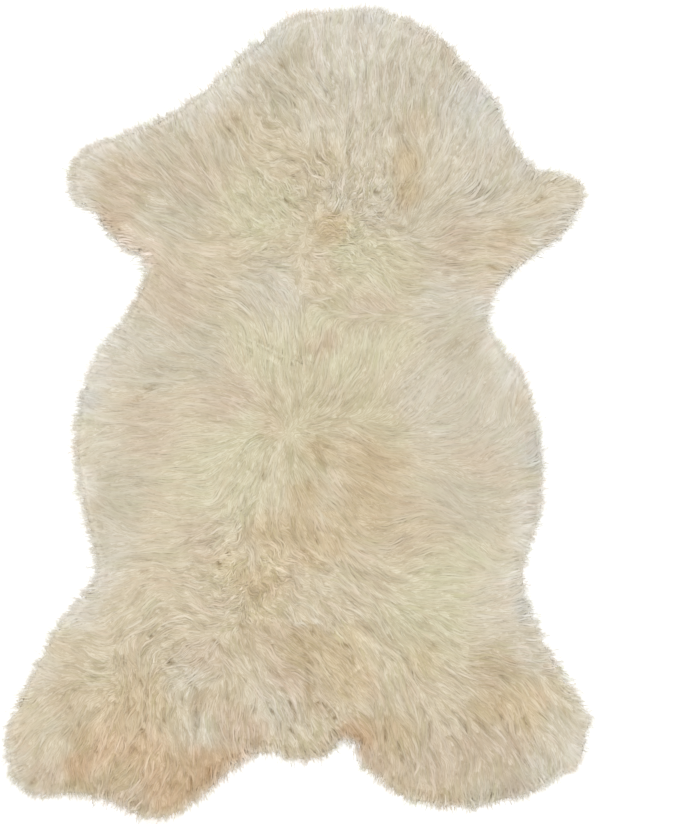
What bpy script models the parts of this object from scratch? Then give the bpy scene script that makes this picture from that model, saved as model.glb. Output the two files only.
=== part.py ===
"""A natural sheepskin rug laid flat with its wool up: one pelt, modelled as one closed solid.

The solid reaches as far as the wool does. Its underside is the flat hide side that lies on the
floor, its edge is rounded as wool falls over the edge of the hide, and its top follows the height
of the pile: higher over the neck and haunches, with a dimple at the whorl on the back.
The neck points along +Y and the hind legs along -Y.
"""

import bmesh
import bpy
import numpy as np
from mathutils import Vector

# Driving dimensions, in metres.
PELT_LENGTH = 1.0       # neck to hind feet, over the wool
PILE_HEIGHT = 0.044     # top of the combed wool above the floor, away from edge and hollows
RIM_HEIGHT = 0.010      # height of the widest line round the edge
RIM_TUCK = 0.006        # how far the underside is drawn in from that line
RIM_RING = 0.007        # width of the first band of faces inside the edge
SHOULDER = 0.052        # distance over which the wool rises from the edge to its full height
CELL = 0.0165           # size of the top's cells
WELD = 0.0025           # corners of cells that come this near each other are merged
FLAT_TOLERANCE = 1e-6   # how near a cut a corner counts as on it
CURVE_STEPS = 3         # points from one outline point to the next

# The wool's outline, clockwise from the crown of the neck, for a pelt 1 m long.
OUTLINE_MM = [
    # place, x, y
    ("neck_crown", 63, 498),
    ("neck_right", 124, 486),
    ("neck_right_corner", 174, 462),
    ("neck_right_side", 210, 420),
    ("right_cheek", 240, 385),
    ("right_shoulder_top", 266, 336),
    ("right_foreleg_root", 291, 303),
    ("right_foreleg_top", 322, 295),
    ("right_foreleg_tip", 348, 280),
    ("right_foreleg_end", 344, 252),
    ("right_foreleg_under", 322, 216),
    ("right_foreleg_inner", 284, 183),
    ("right_armpit_top", 248, 154),
    ("right_armpit", 231, 127),
    ("right_armpit_bottom", 240, 84),
    ("right_chest", 265, 50),
    ("right_rib_top", 290, -3),
    ("right_rib", 300, -70),
    ("right_belly", 294, -138),
    ("right_flank", 278, -187),
    ("right_flank_bottom", 281, -231),
    ("right_thigh", 297, -280),
    ("right_thigh_bottom", 322, -324),
    ("right_hock", 347, -364),
    ("right_hind_tip", 356, -392),
    ("right_hind_corner", 346, -428),
    ("right_hind_end", 312, -448),
    ("right_hind_foot", 255, -475),
    ("right_foot_middle", 175, -483),
    ("right_foot_inner", 124, -467),
    ("right_inner_leg", 92, -434),
    ("tail_notch_right", 70, -409),
    ("tail_notch", 50, -403),
    ("tail_right", 35, -421),
    ("tail_middle", 0, -427),
    ("tail_left", -46, -415),
    ("left_inner_leg", -80, -432),
    ("left_foot_inner", -124, -470),
    ("left_foot_middle", -182, -497),
    ("left_foot_outer", -221, -483),
    ("left_hind_end", -270, -468),
    ("left_hind_corner", -338, -463),
    ("left_hind_side", -357, -436),
    ("left_hind_tip", -359, -396),
    ("left_hock", -338, -341),
    ("left_thigh", -311, -284),
    ("left_thigh_top", -279, -240),
    ("left_flank", -252, -208),
    ("left_belly", -253, -165),
    ("left_rib_bottom", -267, -107),
    ("left_rib", -274, -45),
    ("left_rib_top", -268, 17),
    ("left_chest", -248, 76),
    ("left_armpit_bottom", -214, 117),
    ("left_armpit_side", -196, 150),
    ("left_armpit", -190, 182),
    ("left_foreleg_inner", -227, 206),
    ("left_foreleg_under", -262, 250),
    ("left_foreleg_tip", -279, 291),
    ("left_foreleg_end", -268, 318),
    ("left_foreleg_top", -231, 336),
    ("left_shoulder", -171, 361),
    ("left_cheek", -121, 392),
    ("neck_left_side", -60, 446),
    ("neck_left", 0, 485),
]

# Rises and hollows of the pile. Each is a smooth bump that fades out at its radius.
RELIEF_MM = [
    # place, x, y, radius, rise
    ("whorl_on_the_back", -13, -23, 75, -17),
    ("hollow_at_the_withers", 10, 225, 90, -6),
    ("parting_of_the_neck", 75, 285, 70, -9),
    ("neck_ruff", 90, 390, 110, 4),
    ("left_shoulder_ruff", -150, 290, 90, 3),
    ("right_rib_swell", 170, 20, 130, 4),
    ("left_rib_swell", -150, -20, 120, 3),
    ("curls_on_the_loin", -50, -210, 95, -6),
    ("left_haunch", -215, -310, 110, 4),
    ("right_haunch", 215, -340, 120, 4),
    ("hollow_over_the_tail", -95, -355, 70, -5),
    ("thin_left_flank", -230, -190, 80, -5),
    ("thin_right_flank", 250, -190, 80, -6),
    ("thin_right_foreleg", 320, 270, 70, -6),
]

MM = 0.001
WOOL_COLOUR = (0.66, 0.59, 0.45, 1.0)


def clear_scene():
    for obj in list(bpy.data.objects):
        bpy.data.objects.remove(obj, do_unlink=True)


def outline_points():
    """The outline as a smooth closed line of (x, y), in metres, with the middle of its box at the origin."""
    curve = bpy.data.curves.new("pelt_outline", "CURVE")
    curve.dimensions = "2D"
    curve.resolution_u = CURVE_STEPS
    spline = curve.splines.new("BEZIER")
    spline.bezier_points.add(len(OUTLINE_MM) - 1)
    for point, (_, x, y) in zip(spline.bezier_points, OUTLINE_MM):
        point.co = (x * MM, y * MM, 0.0)
        point.handle_left_type = point.handle_right_type = "AUTO"
    spline.use_cyclic_u = True
    guide = bpy.data.objects.new("pelt_outline", curve)
    bpy.context.scene.collection.objects.link(guide)
    bpy.context.view_layer.update()
    line = bpy.data.meshes.new_from_object(guide.evaluated_get(bpy.context.evaluated_depsgraph_get()))
    points = np.array([v.co[:2] for v in line.vertices])
    bpy.data.objects.remove(guide, do_unlink=True)
    low, high = points.min(axis=0), points.max(axis=0)
    scale = PELT_LENGTH / (high[1] - low[1])
    return (points - (low + high) / 2) * scale


def distance_to_edge(outline, x, y):
    """How far the point (x, y) lies from the outline."""
    start, end = outline, np.roll(outline, -1, axis=0)
    along = end - start
    point = np.array([x, y])
    share = np.einsum("ij,ij->i", point - start, along) / np.einsum("ij,ij->i", along, along)
    nearest = start + np.clip(share, 0.0, 1.0)[:, None] * along
    return float(np.linalg.norm(point - nearest, axis=1).min())


def fade(share):
    """1 at the middle of a bump, 0 at its radius and beyond, with no kink at either."""
    share = min(1.0, share)
    return (1.0 - share * share) ** 2


def pile_height(outline, x, y):
    """Height of the wool's top above the floor at (x, y)."""
    full = PILE_HEIGHT
    for _, centre_x, centre_y, radius, rise in RELIEF_MM:
        away = np.hypot(x / MM - centre_x, y / MM - centre_y)
        full += rise * MM * fade(away / radius)
    inward = min(1.0, distance_to_edge(outline, x, y) / SHOULDER)
    shoulder = np.sqrt(1.0 - (1.0 - inward) ** 2)
    return RIM_HEIGHT + (full - RIM_HEIGHT) * shoulder


def inner_geometry(bm):
    """The faces inside the rim's band, with their edges and corners."""
    faces = [f for f in bm.faces if not any(v.is_boundary for v in f.verts)]
    edges = {e for f in faces for e in f.edges}
    corners = {v for f in faces for v in f.verts}
    return [*corners, *edges, *faces]


def cut_into_cells(bm, outline):
    """Cuts the flat face inside the rim along a square grid, so that it can follow the pile."""
    low, high = outline.min(axis=0), outline.max(axis=0)
    for axis, direction in enumerate((Vector((1, 0, 0)), Vector((0, 1, 0)))):
        span = high[axis] - low[axis]
        cuts = int(span / CELL)
        first = low[axis] + (span - (cuts - 1) * CELL) / 2
        for i in range(cuts):
            bmesh.ops.bisect_plane(
                bm,
                geom=inner_geometry(bm),
                dist=FLAT_TOLERANCE,
                plane_co=direction * (first + i * CELL),
                plane_no=direction,
            )
    bmesh.ops.remove_doubles(bm, verts=[v for v in bm.verts if not v.is_boundary], dist=WELD)


def inward_directions(edges):
    """For each end of the open edges, the direction in the plane that points into the pelt."""
    inward = {}
    for edge in edges:
        loop = edge.link_loops[0]
        along = loop.link_loop_next.vert.co - loop.vert.co
        for v in edge.verts:
            inward[v] = inward.get(v, Vector()) + Vector((-along.y, along.x, 0.0)).normalized()
    return {v: direction.normalized() for v, direction in inward.items()}


def close_underside(bm):
    """Draws the rim in and down to the floor and closes it with one flat face."""
    rim = [e for e in bm.edges if e.is_boundary]
    inward = inward_directions(rim)
    bmesh.ops.extrude_edge_only(bm, edges=rim)
    for v, direction in inward.items():
        foot = next(e.other_vert(v) for e in v.link_edges if e.other_vert(v).is_boundary)
        foot.co = (v.co.x + direction.x * RIM_TUCK, v.co.y + direction.y * RIM_TUCK, 0.0)
    foot_edges = [e for e in bm.edges if e.is_boundary]
    bmesh.ops.triangle_fill(bm, edges=foot_edges, use_beauty=True, normal=(0.0, 0.0, -1.0))


def pelt_mesh(outline):
    bm = bmesh.new()
    face = bm.faces.new([bm.verts.new((x, y, 0.0)) for x, y in outline])
    face.normal_update()
    if face.normal.z < 0:
        face.normal_flip()
    bmesh.ops.inset_region(bm, faces=[face], thickness=RIM_RING, use_boundary=True, use_even_offset=True)
    cut_into_cells(bm, outline)
    for v in bm.verts:
        v.co.z = pile_height(outline, v.co.x, v.co.y)
    close_underside(bm)
    bmesh.ops.recalc_face_normals(bm, faces=bm.faces[:])
    mesh = bpy.data.meshes.new("sheepskin")
    bm.to_mesh(mesh)
    bm.free()
    return mesh


def wool_material():
    material = bpy.data.materials.new("wool")
    material.use_nodes = True
    shader = material.node_tree.nodes["Principled BSDF"]
    shader.inputs["Base Color"].default_value = WOOL_COLOUR
    shader.inputs["Roughness"].default_value = 0.8
    shader.inputs["Metallic"].default_value = 0.0
    return material


def main():
    clear_scene()
    rug = bpy.data.collections.new("sheepskin_rug")
    bpy.context.scene.collection.children.link(rug)
    pelt = bpy.data.objects.new("sheepskin", pelt_mesh(outline_points()))
    pelt.data.materials.append(wool_material())
    pelt.data.shade_smooth()
    rug.objects.link(pelt)


main()
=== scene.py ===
"""The looks of a natural sheepskin rug, laid flat with its wool up.

From the floor up: the tanned hide, the dense underwool that grows on it, and the fleece itself,
some forty thousand wisps that are combed the way the coat lies and gather into locks.
Lengths are in metres. The tables whose names end in _MM give theirs in millimetres.
"""

import math

import bmesh
import bpy
import numpy as np
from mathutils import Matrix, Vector
from mathutils.bvhtree import BVHTree


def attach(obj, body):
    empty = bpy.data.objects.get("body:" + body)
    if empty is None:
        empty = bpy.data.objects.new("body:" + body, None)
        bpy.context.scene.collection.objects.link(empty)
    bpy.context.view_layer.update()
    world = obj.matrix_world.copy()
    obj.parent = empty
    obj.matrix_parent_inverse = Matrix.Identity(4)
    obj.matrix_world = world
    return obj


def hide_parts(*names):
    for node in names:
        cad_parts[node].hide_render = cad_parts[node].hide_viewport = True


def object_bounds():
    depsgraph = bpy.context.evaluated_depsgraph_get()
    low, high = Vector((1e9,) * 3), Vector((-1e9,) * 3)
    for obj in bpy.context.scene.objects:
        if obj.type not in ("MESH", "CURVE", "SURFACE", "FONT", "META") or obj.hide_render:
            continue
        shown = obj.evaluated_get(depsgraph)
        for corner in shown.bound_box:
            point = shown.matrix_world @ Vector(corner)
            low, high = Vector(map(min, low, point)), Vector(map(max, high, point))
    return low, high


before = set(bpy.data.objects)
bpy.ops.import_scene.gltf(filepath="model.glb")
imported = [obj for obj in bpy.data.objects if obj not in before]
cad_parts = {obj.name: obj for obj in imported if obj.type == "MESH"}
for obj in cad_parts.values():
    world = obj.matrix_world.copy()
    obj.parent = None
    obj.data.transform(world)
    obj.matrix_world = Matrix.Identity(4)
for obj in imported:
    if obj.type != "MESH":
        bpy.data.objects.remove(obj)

bl_info = {
    "name": "Sheepskin Rug",
    "version": (1, 0, 0),
    "blender": (4, 5, 0),
    "location": "3D View > Sidebar > Sheepskin",
    "description": "Models a natural sheepskin rug: hide, underwool and combed fleece",
    "category": "Add Mesh",
}

MM = 0.001
CAD_BOX = [list(corner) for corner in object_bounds()]
PELT = "sheepskin"
WELD = 1e-6             # corners of the CAD solid that come this near each other are merged

# The maps' grid, and the wool's edge.
MAP_CELL = 0.0025       # distance between the places where a map is worked out
MAP_MARGIN = 0.045      # how far the maps reach past the outline
REACH_BAND = 0.060      # how far inside the outline the table of reaches still counts
RAGGED = 0.0014         # how far the wool's edge wavers in and out
RAGGED_WAVES = ((1.0, 0.030, 41), (0.6, 0.014, 42))     # size, wavelength and seed of each wave
NO_REACH = 0.05         # weight of a reach of 0 among the table's
RIPPLE_WAVES = 14       # how many plain waves make up a random one

# The way the wool is combed.
COMB_REACH_MM = 22      # how near a guide has to be to rule the wool
OUTWARD = 0.5           # how strongly the wool turns outwards at its edge
OUTWARD_BAND = 0.030    # how far inside the edge it starts to
BENDS = ((0.15, 0.058, 11), (0.11, 0.024, 12))          # size, wavelength and seed of each bend
CURL_BENDS = ((0.9, 0.032, 13), (0.5, 0.018, 14))       # the same, among full curls

# The pile and its underwool.
OUTER_FALL = 0.016      # how far past the wool's edge the pile's height runs out
HOLLOW_SHARE = 0.09     # how far a full hollow lowers the pile, as a share of its height
STREAK_RISE = 0.018     # height of the combed ridges, as a share of the pile's
STREAK = (0.6, 0.6)     # how strong the ridges are, and how much more where locks gather
# Painted light on the combed ridges and painted shade in their furrows, in red, green and blue.
STREAK_PAINTED_LIGHT_AND_SHADE = (0.035, 0.040, 0.050)    # how much lighter a ridge is than a furrow
STREAK_SEED, STREAK_STEPS = 31, 10      # the steps are half a ridge's length, in cells
CREASE_SEED, CREASE_STEPS = 32, 7       # the steps are half a crease's length, in cells
FLECK_REACH = 5         # flecks are levelled out over so many cells to each side
# The creases are hollows, so they also get the painted shade of the folds.
CREASE = 0.40           # how deep the creases between locks are, as hollows
CREASE_START = 0.8      # how deep a furrow has to be for a crease to start in it
CREASE_RANGE = 1.5      # how much deeper than that the crease goes on deepening
CREASE_COAT = 1.2       # creases get no deeper from this depth of the coat on
CREASE_BAND = 0.015     # how far inside the wool's edge creases reach their depth
EDGE_SLOPE = 0.4        # how much of the pile's slope the wisps' shading takes on at the edge
SLOPE_BAND = 0.040      # how far inside the edge it takes on all of it
EDGE_BARE = 0.003       # how far inside the wool's edge the underwool starts
EDGE_ROUND = 0.022      # distance over which it rises to its full height
EDGE_CURVE = 0.4        # how round that rise is: less is rounder
EDGE_FOLLOW = 0.6       # how much of the wool's reach past the outline the underwool follows
GAP_SHARE = 0.05        # how far the underwool lies lower still in a hollow
CURLY_DROP = 0.07       # how much lower it lies among curls, as a share of the pile
LUMPS = (0.004, 0.03)   # height of its lumps, and how much more among curls, as shares
LUMP_WAVES = ((1.0, 0.009, 5), (1.0, 0.022, 6))         # size, wavelength and seed
LEAST_RELIEF = 0.0012   # the least height of the combed wool over the underwool
SUNK_RELIEF = 0.6       # how much of that height a full hollow takes away
FLAT_RELIEF = 0.4       # how much of it is left where the coat has no depth
PARTING = 9e-6          # how strongly a hollow parts the wisps over it, in square metres

# The wool's colour. The wisps shade each other, so they are made lighter than they should look.
TONE_RADIUS_MM = 30     # a patch of this radius weighs 1, and a smaller one more
LIFT = (1.256, 1.31, 1.455)             # how much lighter, in red, green and blue
RIM_LIFT = 0.16         # how much lighter still at the edge, where they shade each other more
RIM_BAND = 0.030        # how far inside the edge that starts
PALE_EDGE = 0.45        # how much of the edge's tone the wool takes on there
PALE_BAND = 0.020       # how far inside the edge that starts
FRINGE_START = 0.009    # how far inside the edge the fringe's tone starts
FRINGE_BAND = 0.014     # distance over which it takes over
HAZE_START = 0.002      # how far past the edge the haze's tone starts
HAZE_BAND = 0.006       # distance over which it takes over

# The weight of what holds everywhere, against the tables' patches.
PLAIN_COAT = (0.06, 0.08, 0.20, 0.60)   # curl, tousle, gather and depth where nothing is said
PLAIN_COAT_WEIGHT = 0.25
PLAIN_TONE_WEIGHT = 0.10
COAT_RADIUS = 0.7       # a coat's patch fades out over so much of its radius

# The locks. Tufts grow where the wool parts, and the skirt and the fringe at its edge.
SEED = 20               # of all the fleece's random draws
TUFT_SPACING = 0.55     # distance between the tufts' roots, as a share of the locks'
TUFT_INSIDE = 0.02      # tufts grow at least so far inside the wool's edge
TUFT_SURE = 0.5         # how far inside its patch a tuft is sure to grow, as a share of its radius
SKIRT_SPACING = 2.3     # distance between the skirt's roots, as a share of the fringe's
SKIRT_DEPTH = 0.020     # how far inside the edge the skirt grows
FRINGE_DEPTH = 0.010    # how far inside the edge the fringe grows
FRINGE_FURTHER = 0.006  # how much further past the edge than the others the fringe reaches
FRINGE_SPLAY = 0.8      # how much it bends outwards
TUFT_TOUSLE, SKIRT_TOUSLE, FRINGE_TOUSLE = 0.6, 0.4, 0.5    # how tousled each is at the least
CURLY_FROM = 0.30       # from this much curl on, a lock's main wisps are the curly ones
LOCK_LENGTHS = (0.80, 1.10)         # the locks' lengths, as shares of the setting
LOCK_SHRINK = (1.05, 0.22, 0.20)    # a share of that, less by the coat's depth and its curl
LOCK_TURN = (0.03, 0.40)            # how far locks turn off the combing, and how much when tousled
LOCK_GATHER = (-0.2, 0.2)           # how much more than its coat's a lock's gather is
LOCK_LEVEL = (0.4, 1.0)             # how high the locks lie among each other

# The wisps.
ROUNDNESS = 0.8         # how much lower a lock's outer wisps lie than its middle ones
LATEST_START = 0.5      # a wisp starts at this share of its reach at the latest
GATHERED = 1.15         # how early a wisp joins the others: 1 is at its lock's tip
BEATS = (0.8, 1.8)      # how many waves a wisp has
FLOOR_GAP = 0.0006      # the least height of a wisp's middle line
LEAST_HEIGHT = 0.0002   # the least height of its sides
MIDDLE_TINT = 0.55      # the tint that a coat without depth has everywhere
# A wisp's tint sets its painted shade and tip highlight: the lower it lies, the darker it is
# painted.
RANK_TINT = 0.6         # how much of a wisp's tint comes from how high it lies
SIDES = 3               # sides of a wisp: two upper ones and a flat one below
SINK = 1.0              # how far a wisp is sunk: 1 puts its ridge on its line
WISP_TILT = 0.5         # how far a wisp's normals at its edges tilt away from the pile's
# The flank gets painted shade along the wisps' edges and, this much of it, at their tips.
TIP_FLANK = 0.4         # how much a wisp's tip counts as its flank
FIBRE_LENGTH = 0.055    # length of wool that the fibres' streaks are drawn for
MAP_INSET = 0.12        # empty share of a strand's cell in its map, on each side

# The underwool's and the hide's forms.
UNDERWOOL_BAND = 0.075  # how far inside the edge the underwool starts to draw in
UNDERWOOL_CUTS = 2      # cuts through each edge of the solid's top
ABOVE_FLOOR = 0.001     # corners higher than this belong to the solid's top
HIDE_WELD = 0.001       # shorter edges of the hide's outline are dissolved

# The stage.
WHITE = (1.0, 1.0, 1.0, 1.0)
FLOOR_DROP = 0.0002     # how far the floor lies below the hide
FLOOR_TONES = ((0.93, 0.93, 0.93), (0.95, 0.95, 0.95))      # of the floor's faint specks
KEY_PLACE = (-0.3, 0.6, 3.3)            # where the lamp overhead hangs
KEY_SIZE = 1.2          # and how wide it is
SENSOR = 36.0           # width of the camera's sensor, in millimetres
VIEW_LEVEL = 0.03       # height above the floor at which the view's length is measured

# How the wool is combed: the way its tips point, in degrees from +X towards +Y.
COMBED_MM = [
    # place, x, y, angle
    ("crown_left", 5, 470, 75),
    ("crown", 65, 475, 90),
    ("crown_right", 140, 455, 70),
    ("neck_left_edge", -75, 425, 112),
    ("neck_left", -25, 400, 134),
    ("neck_middle_left", 30, 405, 117),
    ("neck_middle", 95, 400, 90),
    ("neck_right", 155, 395, 80),
    ("neck_right_edge", 215, 395, 56),
    ("left_cheek", -140, 360, 116),
    ("nape_left_edge", -75, 350, 115),
    ("nape_left", 15, 350, 107),
    ("nape", 80, 345, 76),
    ("nape_right", 130, 325, 112),
    ("right_cheek", 190, 335, 73),
    ("right_cheek_edge", 245, 330, 74),
    ("left_shoulder_top", -225, 335, 132),
    ("left_shoulder", -160, 325, 134),
    ("left_collar", -95, 305, 106),
    ("throat_left", -30, 315, 172),
    ("right_collar", 185, 290, 50),
    ("right_shoulder", 245, 290, 76),
    ("left_foreleg_tip", -255, 285, 160),
    ("left_foreleg", -200, 280, 151),
    ("left_foreleg_root", -135, 280, 143),
    ("left_foreleg_under", -240, 245, 150),
    ("left_foreleg_inner", -185, 235, 160),
    ("left_elbow", -115, 240, 146),
    ("throat_bottom_left", -60, 265, 128),
    ("right_foreleg_top", 290, 280, 48),
    ("right_foreleg_tip", 335, 270, -5),
    ("right_foreleg", 250, 255, 14),
    ("right_foreleg_under", 310, 235, 20),
    ("right_elbow", 190, 250, 24),
    ("right_breast", 150, 262, 66),
    ("right_shoulder_low", 220, 215, -2),
    ("right_armpit_top", 265, 190, -12),
    ("left_armpit_top", -185, 195, 140),
    ("left_breast", -110, 200, 170),
    ("left_wither", -45, 195, 198),
    ("right_wither", 55, 190, -10),
    ("right_wither_outer", 120, 195, -24),
    ("left_armpit", -160, 150, 138),
    ("left_back_top", -95, 150, 158),
    ("back_top_left", -35, 140, 128),
    ("back_top_right", 40, 150, -37),
    ("back_top_far_right", 95, 155, -48),
    ("right_armpit_inner", 160, 140, -5),
    ("right_armpit", 215, 120, 28),
    ("left_chest", -170, 90, 152),
    ("left_rib_high", -110, 80, 162),
    ("whorl_up_left", -60, 75, 88),
    ("whorl_up", -15, 80, 90),
    ("whorl_up_right", 40, 80, 88),
    ("whorl_far_right", 95, 75, 80),
    ("right_rib_top", 150, 80, 36),
    ("right_chest", 215, 65, 50),
    ("left_rib_edge", -235, 15, 172),
    ("left_rib", -150, 20, 190),
    ("left_rib_inner", -80, 25, 160),
    ("right_rib_inner", 70, 30, 60),
    ("right_rib", 135, 20, 54),
    ("right_rib_edge", 245, 10, 72),
    ("left_belly_edge", -235, -50, 197),
    ("left_belly", -150, -50, 190),
    ("right_belly_inner", 75, -40, -28),
    ("right_belly", 150, -35, -3),
    ("right_belly_edge", 240, -35, 30),
    ("whorl_down_left", -60, -90, 246),
    ("whorl_down", -17, -95, 272),
    ("whorl_down_right", 30, -90, 312),
    ("left_flank_high", -150, -105, 170),
    ("left_flank_edge", -235, -120, 158),
    ("right_loin_high", 100, -95, -32),
    ("right_flank_high", 180, -95, -31),
    ("right_flank_edge", 260, -100, 14),
    ("left_loin", -110, -150, 200),
    ("loin_top", -30, -150, 305),
    ("loin_top_right", 50, -145, -58),
    ("right_loin", 130, -150, 40),
    ("right_flank", 220, -160, -38),
    ("left_flank", -200, -185, 190),
    ("left_loin_low", -130, -205, 165),
    ("loin_right", 0, -205, -32),
    ("right_loin_low", 80, -205, -34),
    ("right_waist", 160, -205, 6),
    ("right_waist_edge", 245, -215, 18),
    ("left_waist_edge", -270, -250, 198),
    ("left_waist", -200, -240, 220),
    ("left_rump", -130, -250, 152),
    ("rump", 20, -260, -44),
    ("right_rump", 90, -265, -53),
    ("right_thigh_high", 160, -270, -35),
    ("right_thigh_top", 230, -285, 2),
    ("right_thigh_edge", 295, -295, -12),
    ("left_thigh_edge", -300, -310, 160),
    ("left_haunch_right", -160, -295, 202),
    ("left_haunch_inner", -125, -325, 215),
    ("tail_root_left", -75, -300, 307),
    ("tail_root", -20, -310, 330),
    ("tail_root_right", 50, -330, 310),
    ("right_haunch_inner", 120, -325, -65),
    ("right_haunch", 200, -330, -24),
    ("right_hock", 290, -350, -60),
    ("right_hind_tip", 335, -390, -52),
    ("left_hock", -320, -365, 222),
    ("left_haunch_low", -265, -355, 238),
    ("left_seam_left_high", -248, -297, 138),
    ("left_seam_left", -248, -324, 164),
    ("left_seam_left_low", -248, -346, 188),
    ("left_seam_foot_left", -266, -366, 232),
    ("left_seam_right_high", -208, -304, 308),
    ("left_seam_right", -195, -340, 280),
    ("left_seam_foot", -214, -366, 262),
    ("left_shank_high", -184, -373, 277),
    ("left_shank_middle", -202, -389, 262),
    ("left_shank_right", -166, -383, 286),
    ("left_fold_top", -248, -404, 244),
    ("left_patch_foot", -148, -328, 185),
    ("left_patch_turn", -175, -335, 226),
    ("left_patch_below", -159, -353, 286),
    ("white_lock_top", -121, -361, 270),
    ("left_patch", -156, -300, 218),
    ("left_leg_inner", -144, -404, 304),
    ("white_lock_foot", -105, -404, 284),
    ("left_foot_high", -210, -432, 220),
    ("left_fold", -275, -435, 268),
    ("left_hind", -265, -400, 242),
    ("left_shank", -190, -385, 252),
    ("left_shank_inner", -130, -390, 268),
    ("tail_left", -60, -385, 274),
    ("tail", 0, -385, 292),
    ("tail_right", 50, -385, 310),
    ("right_shank_inner", 105, -400, 276),
    ("right_shank", 170, -390, 295),
    ("right_hind", 245, -385, 304),
    ("left_hind_corner", -330, -430, 222),
    ("left_hind_end", -265, -440, 270),
    ("left_foot", -190, -450, 242),
    ("left_foot_inner", -130, -445, 254),
    ("right_foot_inner", 150, -450, 272),
    ("right_foot", 220, -450, 277),
    ("right_hind_end", 295, -430, 292),
]

# Where the wool springs from one place and lies away from it on all sides.
WHORLS_MM = [
    # place, x, y, radius
    ("whorl_on_the_back", -13, -22, 62),
]

# Short tufts that cover the places where the wool parts.
TUFTS_MM = [
    # place, x, y, radius
    ("whorl_on_the_back", -13, -22, 22),
    ("seam_on_the_left_haunch", -216, -316, 24),
    ("seam_on_the_left_haunch_low", -217, -338, 24),
    ("parting_left", -25, 250, 50),
    ("parting_middle", 30, 250, 55),
    ("parting_right", 85, 272, 50),
    ("withers", 0, 205, 40),
    ("withers_right", 55, 200, 40),
    ("loin", -55, -215, 55),
]

# How much further the wool reaches than the outline, where less than 0 is how much less.
REACHES_MM = [
    # place, x, y, radius, further
    ("neck_left", -15, 480, 40, 14),
    ("neck_left_side", -60, 446, 40, 11),
    ("left_cheek", -115, 400, 50, 8.5),
    ("left_shoulder", -180, 358, 50, 8),
    ("left_foreleg_end", -275, 305, 35, 11),
    ("left_foreleg_under", -240, 220, 30, -3),
    ("left_armpit", -198, 150, 50, 10),
    ("left_chest", -245, 70, 40, 5.5),
    ("left_rib", -272, -10, 60, 11),
    ("left_belly", -262, -120, 60, 10),
    ("left_flank", -255, -205, 50, 9),
    ("left_thigh", -305, -290, 50, 6.5),
    ("left_hind_side", -355, -390, 45, 7),
    ("left_hind_corner", -345, -455, 35, 9),
    ("left_hind_end", -275, -468, 40, 6),
    ("left_foot", -190, -495, 50, 8),
    ("left_inner_leg", -100, -450, 40, 5),
    ("tail", -20, -424, 35, 7),
    ("right_inner_leg", 92, -434, 18, 18),
    ("tail_notch", 58, -405, 14, 1.5),
    ("right_foot", 175, -483, 35, 5),
    ("right_foot_inner", 118, -462, 25, 11),
    ("right_hind_end", 285, -462, 40, 5),
    ("right_hind_tip", 354, -404, 12, -6),
    ("right_thigh", 305, -300, 50, 5),
    ("right_hock", 352, -372, 18, 5),
    ("right_flank", 280, -185, 40, -2),
    ("right_belly", 296, -138, 40, 0),
    ("right_chest", 260, 58, 35, 11),
    ("right_armpit", 232, 127, 30, 2),
    ("right_foreleg_inner", 282, 183, 35, -7),
    ("right_foreleg_tip", 345, 275, 35, 3),
    ("right_shoulder", 262, 340, 40, -2),
    ("neck_right", 190, 440, 40, 3),
    ("neck_crown_right", 100, 492, 30, 8),
    ("neck_crown", 50, 498, 25, 3),
    ("right_cheek", 232, 394, 25, 4),
    ("right_foreleg_root", 298, 300, 22, 3),
    ("right_foreleg_end", 335, 234, 22, -2),
    ("right_rib_top", 282, 12, 22, 3),
    ("right_hind_end_low", 283, -461, 15, 12),
    ("tail_right", 12, -426, 22, 0),
    ("left_foot_outer", -221, -483, 20, 1),
    ("left_hock", -348, -365, 22, 9),
    ("left_armpit_top", -205, 196, 22, -3),
    ("left_foreleg_tip", -282, 288, 20, 17),
]

# The coat's character by place. Curl and tousle are 0 to 1, gather is how strongly wisps gather
# into locks, and depth is how deep the furrows between them look.
COATS_MM = [
    # place, x, y, radius, curl, tousle, gather, depth
    ("parting_of_the_neck", 55, 265, 75, 0.90, 0.80, 0.75, 1.95),
    ("throat", -20, 265, 65, 0.50, 0.55, 0.60, 1.00),
    ("nape", 85, 350, 90, 0.15, 0.10, 0.80, 1.15),
    ("neck", 90, 420, 100, 0.10, 0.10, 0.75, 1.05),
    ("left_ruff", -40, 370, 60, 0.35, 0.45, 0.65, 1.15),
    ("withers", 0, 190, 90, 0.45, 0.45, 0.45, 1.00),
    ("loin", -50, -205, 75, 0.80, 0.75, 0.70, 1.50),
    ("upper_loin", -60, -140, 50, 0.55, 0.60, 0.55, 1.00),
    ("rump", 40, -275, 100, 0.20, 0.15, 0.80, 1.25),
    ("left_haunch", -150, -310, 60, 0.40, 0.45, 0.65, 1.90),
    ("left_seam", -215, -325, 45, 0.30, 0.30, 0.75, 1.30),
    ("tail", -20, -370, 90, 0.20, 0.20, 0.80, 1.60),
    ("left_shank", -180, -400, 90, 0.22, 0.22, 0.80, 1.30),
    ("left_foot", -190, -450, 80, 0.35, 0.35, 0.75, 1.20),
    ("right_shank", 160, -400, 120, 0.15, 0.15, 0.80, 1.25),
    ("whorl", -10, -30, 60, 0.10, 0.15, 0.75, 1.20),
    ("left_shoulder", -160, 300, 80, 0.10, 0.10, 0.30, 0.90),
    ("right_shoulder", 230, 250, 80, 0.06, 0.08, 0.25, 0.80),
    ("back", 0, 90, 80, 0.06, 0.08, 0.25, 0.68),
    ("left_rib", -190, 0, 90, 0.06, 0.08, 0.20, 0.22),
    ("left_flank", -190, -120, 80, 0.06, 0.08, 0.20, 0.22),
    ("right_rib", 200, 30, 90, 0.06, 0.08, 0.20, 0.22),
    ("right_flank", 200, -110, 90, 0.06, 0.08, 0.20, 0.22),
    ("right_haunch", 270, -360, 70, 0.10, 0.10, 0.60, 1.15),
]
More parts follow.
